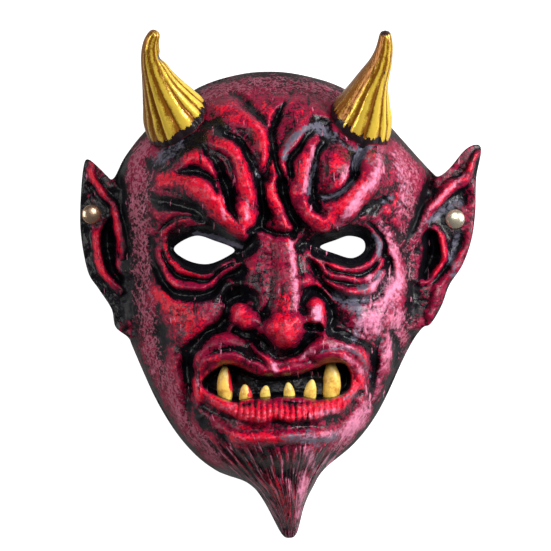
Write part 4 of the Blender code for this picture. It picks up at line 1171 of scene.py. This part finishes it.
class Tree(Wiring):
    """A tree of geometry nodes with named inputs."""

    def __init__(self, name, inputs):
        super().__init__(bpy.data.node_groups.new(name, "GeometryNodeTree"))
        face_of = self.tree.interface
        face_of.new_socket("Geometry", in_out="INPUT", socket_type="NodeSocketGeometry")
        for label, kind in inputs.items():
            face_of.new_socket(label, in_out="INPUT", socket_type=f"NodeSocket{kind}")
        face_of.new_socket("Geometry", in_out="OUTPUT", socket_type="NodeSocketGeometry")
        self.given = self.tree.nodes.new("NodeGroupInput").outputs

    def stored(self, geometry, label, value, kind="FLOAT"):
        """The geometry with a named value on each of its points."""
        return self.node("GeometryNodeStoreNamedAttribute", 0,
                         (("domain", "POINT"), ("data_type", kind)),
                         Geometry=geometry, Name=label, Value=value)

    def kept(self, label, kind="FLOAT"):
        return self.node("GeometryNodeInputNamedAttribute", 0, (("data_type", kind),), Name=label)

    def parts(self, vector):
        made = self.tree.nodes.new("ShaderNodeSeparateXYZ")
        self.feed(made.inputs[0], vector)
        return made.outputs

    def finished(self, geometry):
        """Realized, given its material and sent out."""
        smooth = self.node("GeometryNodeSetShadeSmooth", Geometry=geometry)
        real = self.node("GeometryNodeRealizeInstances", Geometry=smooth)
        made = self.node("GeometryNodeSetMaterial", Geometry=real, Material=self.given["Material"])
        self.tree.links.new(made, self.tree.nodes.new("NodeGroupOutput").inputs[0])
        return self.tree


def run_tree(source, tree, values):
    """The plain mesh that a tree makes of a source, with the named inputs' values."""
    modifier = source.modifiers.new(tree.name, "NODES")
    modifier.node_group = tree
    for item in tree.interface.items_tree:
        if item.in_out == "INPUT" and item.name in values:
            modifier[item.identifier] = values[item.name]
    graph = bpy.context.evaluated_depsgraph_get()
    mesh = bpy.data.meshes.new_from_object(source.evaluated_get(graph))
    source.modifiers.clear()
    bpy.data.objects.remove(source)
    return mesh


def outward(mesh):
    """A closed mesh with its faces pointing out."""
    bm = bmesh.new()
    bm.from_mesh(mesh)
    bmesh.ops.remove_doubles(bm, verts=bm.verts, dist=0.000002)
    bmesh.ops.recalc_face_normals(bm, faces=bm.faces)
    if bm.calc_volume(signed=True) < 0:
        bmesh.ops.reverse_faces(bm, faces=bm.faces)
    bm.to_mesh(mesh)
    bm.free()
    return mesh


def turned_tree():
    """A profile of (radius, 0, height) points turned about the upright axis."""
    made = Tree("turned_piece", {"Sides": "Int", "Steps": "Int", "Material": "Material"})
    given = made.given
    profile = made.node("GeometryNodeMeshToCurve", Mesh=given["Geometry"])
    around = made.maths("ADD", given["Sides"], 1.0)
    grid = made.node("GeometryNodeMeshGrid", "Mesh", Size_X=1.0, Size_Y=1.0,
                     Vertices_X=given["Steps"], Vertices_Y=around)
    spot = made.parts(made.node("GeometryNodeInputPosition"))
    share = made.maths("ADD", spot["X"], 0.5)
    turn = made.maths("MULTIPLY", made.maths("ADD", spot["Y"], 0.5), math.tau)
    drawn = made.parts(made.node("GeometryNodeSampleCurve", "Position", (("mode", "FACTOR"),),
                                 Curves=profile, Factor=share))
    x, y = (made.maths("MULTIPLY", drawn["X"], made.maths(kind, turn)) for kind in ("COSINE", "SINE"))
    place = made.node("ShaderNodeCombineXYZ", X=x, Y=y, Z=drawn["Z"])
    surface = made.node("GeometryNodeSetPosition", Geometry=grid, Position=place)
    return made.finished(made.node("GeometryNodeMergeByDistance", Geometry=surface, Distance=0.00001))


turned_piece = turned_tree()


def stained_enamel():
    enamel = Finish("stained_enamel")
    place = enamel.place()
    patches = enamel.summed((enamel.noise(place, 170.0), 0.9), -0.06)
    patches = enamel.brushed(patches, place, 700.0, 0.8)
    colour = enamel.laid(ENAMEL, OLD_ENAMEL, patches)
    colour = enamel.laid(colour, WORN_ENAMEL, enamel.weight("crown"))
    # Painted shade darkens each tooth's foot
    foot_shade = enamel.brushed(enamel.summed((enamel.weight("foot"), 0.8), -0.15), place, 600.0, 0.8)
    colour = enamel.laid(colour, FOOT_SHADE, foot_shade)
    splash = enamel.brushed(enamel.weight("splash"), place, 420.0, 0.9, 0.08)
    colour = enamel.laid(colour, SCARLET_PAINT, splash)
    return enamel.finished(colour, 0.34, enamel.noise(place, 600.0), 0.4, 0.0005)


def cut_teeth():
    enamel = stained_enamel()
    joined = bmesh.new()
    notes = []
    for index, (name, (base_x, base_row, tip_x, tip_row, width)) in enumerate(TEETH.items()):
        points = [(radius, 0.0, share) for radius, share in TOOTH_PROFILE]
        mesh = run_tree(as_polyline(name, points), turned_piece,
                        {"Sides": TOOTH_SIDES, "Steps": TOOTH_STEPS, "Material": enamel})
        spots = np.array([vertex.co for vertex in mesh.vertices])
        lip = skin_height(np.array([float(base_x)]), np.array([TOOTH_ROW]), 0.0)[0]
        seat = float(lip) + TOOTH_BACK
        share = spots[:, 2]
        wobble = 1 + TOOTH_WOBBLE * grain(spots[:, 0] * 9 + 40 * index, share * 40, 8.0, SEED + 8)
        bend = TOOTH_BEND * np.sin(share * math.pi) * (1 if index % 2 else -1)
        x = base_x + (tip_x - base_x) * share + spots[:, 0] * width / 2 * wobble + bend
        y = base_row + (tip_row - base_row) * share
        z = seat + TOOTH_LEAN * share + spots[:, 1] * width / 2 * wobble
        first = len(joined.verts)
        for place in placed(x, y, z):
            joined.verts.new(place)
        joined.verts.ensure_lookup_table()
        for polygon in mesh.polygons:
            joined.faces.new([joined.verts[first + i] for i in polygon.vertices])
        side = (x - base_x - (tip_x - base_x) * share) / width
        splash = SPLASHED.get(name, 0.0) * smooth_step((side - 0.02) / 0.3)
        splash = splash * smooth_step((share - 0.2) / 0.3)
        # How much painted shade a tooth's foot gets
        foot = smooth_step((0.26 - share) / 0.2)
        crown = CROWN_WEAR * smooth_step((share - 0.55) / 0.4)
        notes.append(np.column_stack([foot, crown, splash]))
    mesh = bpy.data.meshes.new("mask_teeth")
    bmesh.ops.recalc_face_normals(joined, faces=joined.faces)
    joined.to_mesh(mesh)
    joined.free()
    for name, values in zip(("foot", "crown", "splash"), np.vstack(notes).T):
        stored_on(mesh, name, values)
    mesh.materials.append(enamel)
    mesh.shade_smooth()
    return in_scene("mask_teeth", mesh)


teeth = cut_teeth()
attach(teeth, "root")
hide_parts("mask_shell")

# The two horns
# Each is a fluted horn cast on its own, pushed into the forehead and painted gold over
# black, thinly near its foot, where the black and the red of the brow show through.
HORN_LINES = {
    "horn_left": [(-95, 146, 44), (-103, 163, 62), (-114, 186, 84), (-123, 207, 102),
                  (-129, 227, 116), (-129, 241, 124), (-124, 253, 130)],
    "horn_right": [(70, 141, 44), (76, 157, 62), (83, 180, 84), (90, 201, 102), (99, 221, 116),
                   (103, 237, 124), (103.5, 253, 130)],
}
# Gold in painted shade and in painted light, mixed on the horns as the light would fall
SHADED_GOLD = (0.26, 0.088, 0.005, 1)
LIT_GOLD = (1.0, 0.69, 0.08, 1)
HORN_BLACK = (0.012, 0.008, 0.010, 1)
SLIT_BLACK = (0.014, 0.008, 0.008, 1)
FOOT_RED = (0.28, 0.006, 0.02, 1)
TIP_BLACK = (0.03, 0.008, 0.006, 1)
FLANK_LIGHT = 0.45
HORN_GIRTH = [(0.0, 34.5), (0.22, 33.0), (0.42, 24.5), (0.62, 15.8), (0.82, 9.8), (0.93, 7.2),
              (0.975, 5.6), (0.993, 3.2), (1.0, 0.4)]
HORN_ROOT = 0.0026
HORN_FLUTES = {"horn_left": 13, "horn_right": 14}
FLUTE_DEPTH = 0.125
FLUTE_START = 0.12
FLUTE_END = 0.88
FLUTE_FADE = 0.5
RIB_MEAN = 0.62
TIP_FLUTE = 0.06
FOOT_FLUTE, FOOT_RISE = 0.35, 4.0
SMOOTH_SIDE = {"horn_left": 2.6, "horn_right": 2.7}
SMOOTHNESS = {"horn_left": 0.35, "horn_right": 0.9}
HORN_TWIST = {"horn_left": -0.5, "horn_right": 0.5}
HORN_RINGS, HORN_SIDES = 90, 180
NICK_DEPTH = 0.42
TURN_SCALE = 6.0
# Notches at the horns' feet: place and width. Each horn is dented there, and the dent is painted black as
# painted shade.
HORN_NICKS = {"horn_left": (-117, 227, 3.2), "horn_right": (103, 211, 1.4)}


def horn_tree():
    """A tapering horn swept along its centre line, with rounded flutes that fade to its tip."""
    made = Tree("fluted_horn", {
        "Girth": "Float", "Flutes": "Int", "Flute Depth": "Float", "Smooth Side": "Float",
        "Smoothness": "Float", "Twist": "Float", "Rings": "Int", "Sides": "Int",
        "Material": "Material"})
    given = made.given
    line = made.node("GeometryNodeMeshToCurve", Mesh=given["Geometry"])
    line = made.node("GeometryNodeResampleCurve", Curve=line, Count=given["Rings"])
    share = made.node("GeometryNodeSplineParameter", "Factor")
    taper = made.tree.nodes.new("ShaderNodeFloatCurve")
    curve = taper.mapping.curves[0]
    widest = HORN_GIRTH[0][1]
    for spot, girth in HORN_GIRTH[1:-1]:
        curve.points.new(spot, girth / widest)
    curve.points[0].location = (0.0, 1.0)
    curve.points[-1].location = (1.0, HORN_GIRTH[-1][1] / widest)
    for point in curve.points:
        point.handle_type = "AUTO_CLAMPED"
    taper.mapping.update()
    made.tree.links.new(share, taper.inputs["Value"])
    radius = made.maths("MULTIPLY", taper.outputs[0], given["Girth"])
    line = made.node("GeometryNodeSetCurveTilt", Curve=line,
                     Tilt=made.maths("MULTIPLY", share, given["Twist"]))
    line = made.stored(line, "share", share)
    line = made.stored(line, "middle", made.node("GeometryNodeInputPosition"), "FLOAT_VECTOR")
    ring = made.node("GeometryNodeCurvePrimitiveCircle", Resolution=given["Sides"], Radius=1.0)
    spot = made.parts(made.node("GeometryNodeInputPosition"))
    angle = made.maths("ARCTAN2", spot["Y"], spot["X"])
    sway = made.maths("SINE", made.maths("ADD", made.maths("MULTIPLY", angle, 3.0), 1.0))
    uneven = made.maths("ADD", angle, made.maths("MULTIPLY", sway, 0.10))
    counted = made.maths("MULTIPLY", uneven, given["Flutes"])
    wave = made.maths("ABSOLUTE", made.maths("SINE", made.maths("MULTIPLY", counted, 0.5)))
    wave = made.maths("POWER", wave, 0.7)
    facing = made.maths("COSINE", made.maths("SUBTRACT", angle, given["Smooth Side"]))
    calm = made.maths("MULTIPLY", made.maths("ADD", facing, 0.15), 2.0)
    calm = made.maths("MINIMUM", made.maths("SMOOTH_MAX", calm, 0.0, 0.2), 0.95)
    fluted = made.maths("SUBTRACT", 1.0, made.maths("MULTIPLY", calm, given["Smoothness"]))
    rib = made.maths("MULTIPLY", made.maths("SUBTRACT", wave, RIB_MEAN), fluted)
    flank = made.maths("MULTIPLY", made.maths("SINE", counted), fluted)
    for label, value in (("rib", rib), ("calm", calm), ("flank", flank)):
        ring = made.stored(ring, label, value)
    swept = made.node("GeometryNodeCurveToMesh", Curve=line, Profile_Curve=ring, Scale=radius,
                      Fill_Caps=True)
    along = made.kept("share")
    room = made.maths("MULTIPLY", made.maths("SUBTRACT", FLUTE_END, along), 1.0 / FLUTE_FADE)
    room = made.maths("MAXIMUM", made.maths("MINIMUM", room, 1.0), TIP_FLUTE)
    foot = made.maths("MULTIPLY", made.maths("SUBTRACT", along, FLUTE_START), FOOT_RISE)
    foot = made.maths("MINIMUM", made.maths("MAXIMUM", foot, FOOT_FLUTE), 1.0)
    room = made.maths("MULTIPLY", room, foot)
    swept = made.stored(swept, "rib", made.maths("MULTIPLY", made.kept("rib"), room))
    from_middle = made.tree.nodes.new("ShaderNodeVectorMath")
    from_middle.operation = "SUBTRACT"
    made.feed(from_middle.inputs[0], made.node("GeometryNodeInputPosition"))
    made.feed(from_middle.inputs[1], made.kept("middle", "FLOAT_VECTOR"))
    swelled = made.tree.nodes.new("ShaderNodeVectorMath")
    swelled.operation = "SCALE"
    made.feed(swelled.inputs[0], from_middle.outputs[0])
    made.feed(swelled.inputs["Scale"], made.maths("MULTIPLY", made.kept("rib"), given["Flute Depth"]))
    return made.finished(made.node("GeometryNodeSetPosition", Geometry=swept, Offset=swelled.outputs[0]))


def gilded(name, black_tip):
    """Gold brushed over black: it stays on the ribs, and thins out in streaks at the foot."""
    gold = Finish(f"gilded_{name}")
    place = gold.place()
    rib, share, rise = gold.weight("rib"), gold.weight("share"), gold.weight("rise")
    stroke = gold.stretched(("turn", 1.0), ("share", 7.0))
    satin = gold.noise(stroke, 1.4)
    speckle = gold.noise(place, 1300.0)
    # Painted light and shade on the gold: the ribs and one flank of each rib are painted lighter and the
    # smooth side darker; it also grows darker towards the tip and varies at random with the satin and
    # speckle noise.
    level = gold.summed((rib, 2.6), (gold.weight("flank"), FLANK_LIGHT), (satin, 1.9),
                        (speckle, 1.5), (gold.weight("calm"), -0.6), (share, -0.35), -1.12)
    lit = gold.maths("MINIMUM", gold.maths("MAXIMUM", level, 0.0), 1.0)
    colour = gold.laid(SHADED_GOLD, LIT_GOLD, lit)
    foot = gold.maths("MINIMUM", gold.summed((rise, 0.13), -1.35), 1.7)
    level = gold.summed((foot, 1.0), (rib, 0.6), (satin, 4.2), (speckle, 0.9), -2.62)
    cover = gold.brushed(level, stroke, 2.2, 1.5, 0.05)
    colour = gold.laid(HORN_BLACK, colour, cover)
    level = gold.summed((rib, -3.0), (gold.noise(place, 75.0), 2.6), (foot, 0.4), -3.85)
    slit = gold.brushed(level, stroke, 2.0, 0.8, 0.08)
    # The notch at the horn's foot is painted black, a painted shade in the gap where the horn meets the
    # brow
    slit = gold.maths("MAXIMUM", slit, gold.weight("nick"))
    colour = gold.laid(colour, SLIT_BLACK, slit)
    cover = gold.maths("MULTIPLY", cover, gold.maths("SUBTRACT", 1.0, slit))
    blush = gold.brushed(gold.summed((rise, -0.10), 0.55), place, 260.0, 0.9, 0.12)
    colour = gold.laid(colour, FOOT_RED, gold.maths("MULTIPLY", blush, 0.75))
    if black_tip:
        tip = gold.brushed(gold.summed((share, 16.0), -15.1), place, 500.0, 0.5, 0.1)
        colour = gold.laid(colour, TIP_BLACK, tip)
        cover = gold.maths("MULTIPLY", cover, gold.maths("SUBTRACT", 1.0, tip))
    bumps = gold.summed((gold.noise(place, 420.0), 0.6), (satin, 0.9))
    return gold.finished(colour, 0.22, bumps, 0.5, 0.0006, gold.maths("MULTIPLY", cover, 0.45))


fluted_horn = horn_tree()
for name, points in HORN_LINES.items():
    gold = gilded(name, name == "horn_right")
    mesh = run_tree(as_polyline(name, spline(points, 8)), fluted_horn, {
        "Girth": HORN_GIRTH[0][1], "Flutes": HORN_FLUTES[name], "Flute Depth": FLUTE_DEPTH,
        "Smooth Side": SMOOTH_SIDE[name], "Smoothness": SMOOTHNESS[name],
        "Twist": HORN_TWIST[name], "Rings": HORN_RINGS, "Sides": HORN_SIDES, "Material": gold})
    outward(mesh)
    spots = np.array([vertex.co for vertex in mesh.vertices])
    x, y, z = spots.T
    root = read_raster(*lining, x, y) - HORN_ROOT / UNIT
    z = np.maximum(z, root)
    rise = z - skin_height(x, y, 0.0)
    middles_x, middles_y, levels = zip(*points)
    centre_x = np.interp(z, levels, middles_x)
    turn = np.arctan2(y - np.interp(z, levels, middles_y), x - centre_x)
    nick_x, nick_y, nick_width = HORN_NICKS[name]
    nick = np.exp(-((x - nick_x) ** 2 + (y - nick_y) ** 2) / (2.0 * nick_width ** 2))
    x = x + (centre_x - x) * NICK_DEPTH * nick
    stored_on(mesh, "rise", rise)
    stored_on(mesh, "turn", turn * TURN_SCALE)
    stored_on(mesh, "nick", smooth_step(2.0 * nick - 0.6))
    mesh.vertices.foreach_set("co", placed(x, y, z).ravel().astype(np.float32))
    mesh.update()
    horn = in_scene(f"gold_{name}", mesh)
    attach(horn, "root")
    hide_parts(name)

# The rivets
# A domed brass-plated head and a flat back cap, pressed together through each ear on a shank.
# An elastic strap is most likely tied to them, but none is seen.
RIVET_HEAD_D = 0.0096
RIVET_HEAD_RISE = 0.0021
RIVET_BACK_D = 0.0088
RIVET_BACK_T = 0.0011
RIVET_SHANK_D = 0.0036
FIT_GAP = 0.0003
RIVET_STEPS, RIVET_SIDES = 70, 56
DULLED = 0.45
RIVET_NAMES = {-1: "rivet_left", 1: "rivet_right"}
# The left rivet is given a darker, browner brass than the right one
BRASS_TONES = {-1: (0.60, 0.40, 0.27, 1), 1: (0.84, 0.76, 0.58, 1)}


def plated(name, colour):
    plating = Finish(name)
    place = plating.place()
    level = plating.summed((plating.noise(place, 260.0), 1.0), -0.12)
    tarnish = plating.brushed(level, place, 900.0, 0.6)
    dull = tuple(DULLED * part for part in colour[:3]) + (1,)
    roughness = plating.summed((tarnish, 0.18), 0.24)
    return plating.finished(plating.laid(colour, dull, tarnish), roughness,
                            plating.noise(place, 900.0), 0.2, 0.0002, 0.85)


head, shank, back = RIVET_HEAD_D / 2, RIVET_SHANK_D / 2, RIVET_BACK_D / 2
behind = -LATEX_WALL - FIT_GAP
dome = [(head * math.sin(angle), 0, FIT_GAP + RIVET_HEAD_RISE * math.cos(angle))
        for angle in np.radians(np.linspace(0, 80, 12))]
rivet_profile = dome + [(head, 0, FIT_GAP + RIVET_HEAD_RISE * 0.12), (head * 0.97, 0, FIT_GAP),
                        (shank, 0, FIT_GAP), (shank, 0, behind), (back * 0.97, 0, behind),
                        (back, 0, behind - RIVET_BACK_T / 2), (back * 0.95, 0, behind - RIVET_BACK_T),
                        (0, 0, behind - RIVET_BACK_T)]
for side, (rivet_x, rivet_y) in RIVETS.items():
    name = RIVET_NAMES[side]
    mesh = outward(run_tree(as_polyline(name, rivet_profile), turned_piece, {
        "Sides": RIVET_SIDES, "Steps": RIVET_STEPS, "Material": plated(f"plated_{name}", BRASS_TONES[side])}))
    spots = np.array([vertex.co for vertex in mesh.vertices])
    seat = placed(np.array([rivet_x]), np.array([rivet_y]), np.array([seat_height(side)]))[0]
    mesh.vertices.foreach_set("co", (spots + seat).ravel().astype(np.float32))
    mesh.update()
    rivet = in_scene(f"brass_{name}", mesh)
    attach(rivet, "root")
    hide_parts(name)

# The studio: a pale table lit from within, soft lamps and a camera straight above
# The mask lies on its back rim, so the camera that saw it upright looks down on it here.
PHOTO_SIDE = 551
PHOTO_CENTRE = (-5.5, 9.5)
CAMERA_HEIGHT = 5.0
TABLE_HALF = 3.0
TARGET_ROW = 60.0
SENSOR = 36.0
FAR_CLIP = 50.0
WORLD_LIGHT = 0.08
table_mesh = bpy.data.meshes.new("table")
corners = [(x * TABLE_HALF, y * TABLE_HALF, 0) for x, y in ((-1, -1), (1, -1), (1, 1), (-1, 1))]
table_mesh.from_pydata(corners, [], [(0, 1, 2, 3)])
table = in_scene("table", table_mesh)
pale = Finish("pale_table")
pale.shader.inputs["Base Color"].default_value = (0.4, 0.4, 0.4, 1)
pale.shader.inputs["Roughness"].default_value = 0.9
pale.shader.inputs["Emission Color"].default_value = (1, 1, 1, 1)
seen = pale.node("ShaderNodeLightPath", "Is Camera Ray")
pale.feed(pale.shader.inputs["Emission Strength"], pale.summed((seen, 0.9), 0.1))
table_mesh.materials.append(pale.material)

centre = Vector(placed(*np.array([[PHOTO_CENTRE[0]], [PHOTO_CENTRE[1]], [TARGET_ROW]]))[0])
camera_data = bpy.data.cameras.new("camera")
camera = in_scene("camera", camera_data)
camera.location = centre + Vector((0, 0, CAMERA_HEIGHT))
camera_data.sensor_width = SENSOR
camera_data.lens = camera_data.sensor_width * CAMERA_HEIGHT / (PHOTO_SIDE * UNIT)
camera_data.clip_end = FAR_CLIP
bpy.context.scene.camera = camera


def soft_lamp(name, place, size, power):
    lamp = bpy.data.lights.new(name, "AREA")
    lamp.size = size
    lamp.energy = power
    made = in_scene(name, lamp)
    made.location = centre + Vector(place)
    made.rotation_euler = (-Vector(place)).to_track_quat("-Z", "Y").to_euler()


soft_lamp("right_window", (0.66, 0.20, 0.46), 0.34, 9.0)
soft_lamp("overhead", (0.10, 0.40, 0.98), 0.4, 4.4)
soft_lamp("left_fill", (-0.78, 0.05, 0.40), 0.45, 3.0)
world = bpy.data.worlds.new("studio")
bpy.context.scene.world = world
world.use_nodes = True
background = world.node_tree.nodes["Background"]
background.inputs["Color"].default_value = (1, 1, 1, 1)
background.inputs["Strength"].default_value = WORLD_LIGHT
bpy.context.scene.view_settings.view_transform = "Standard"
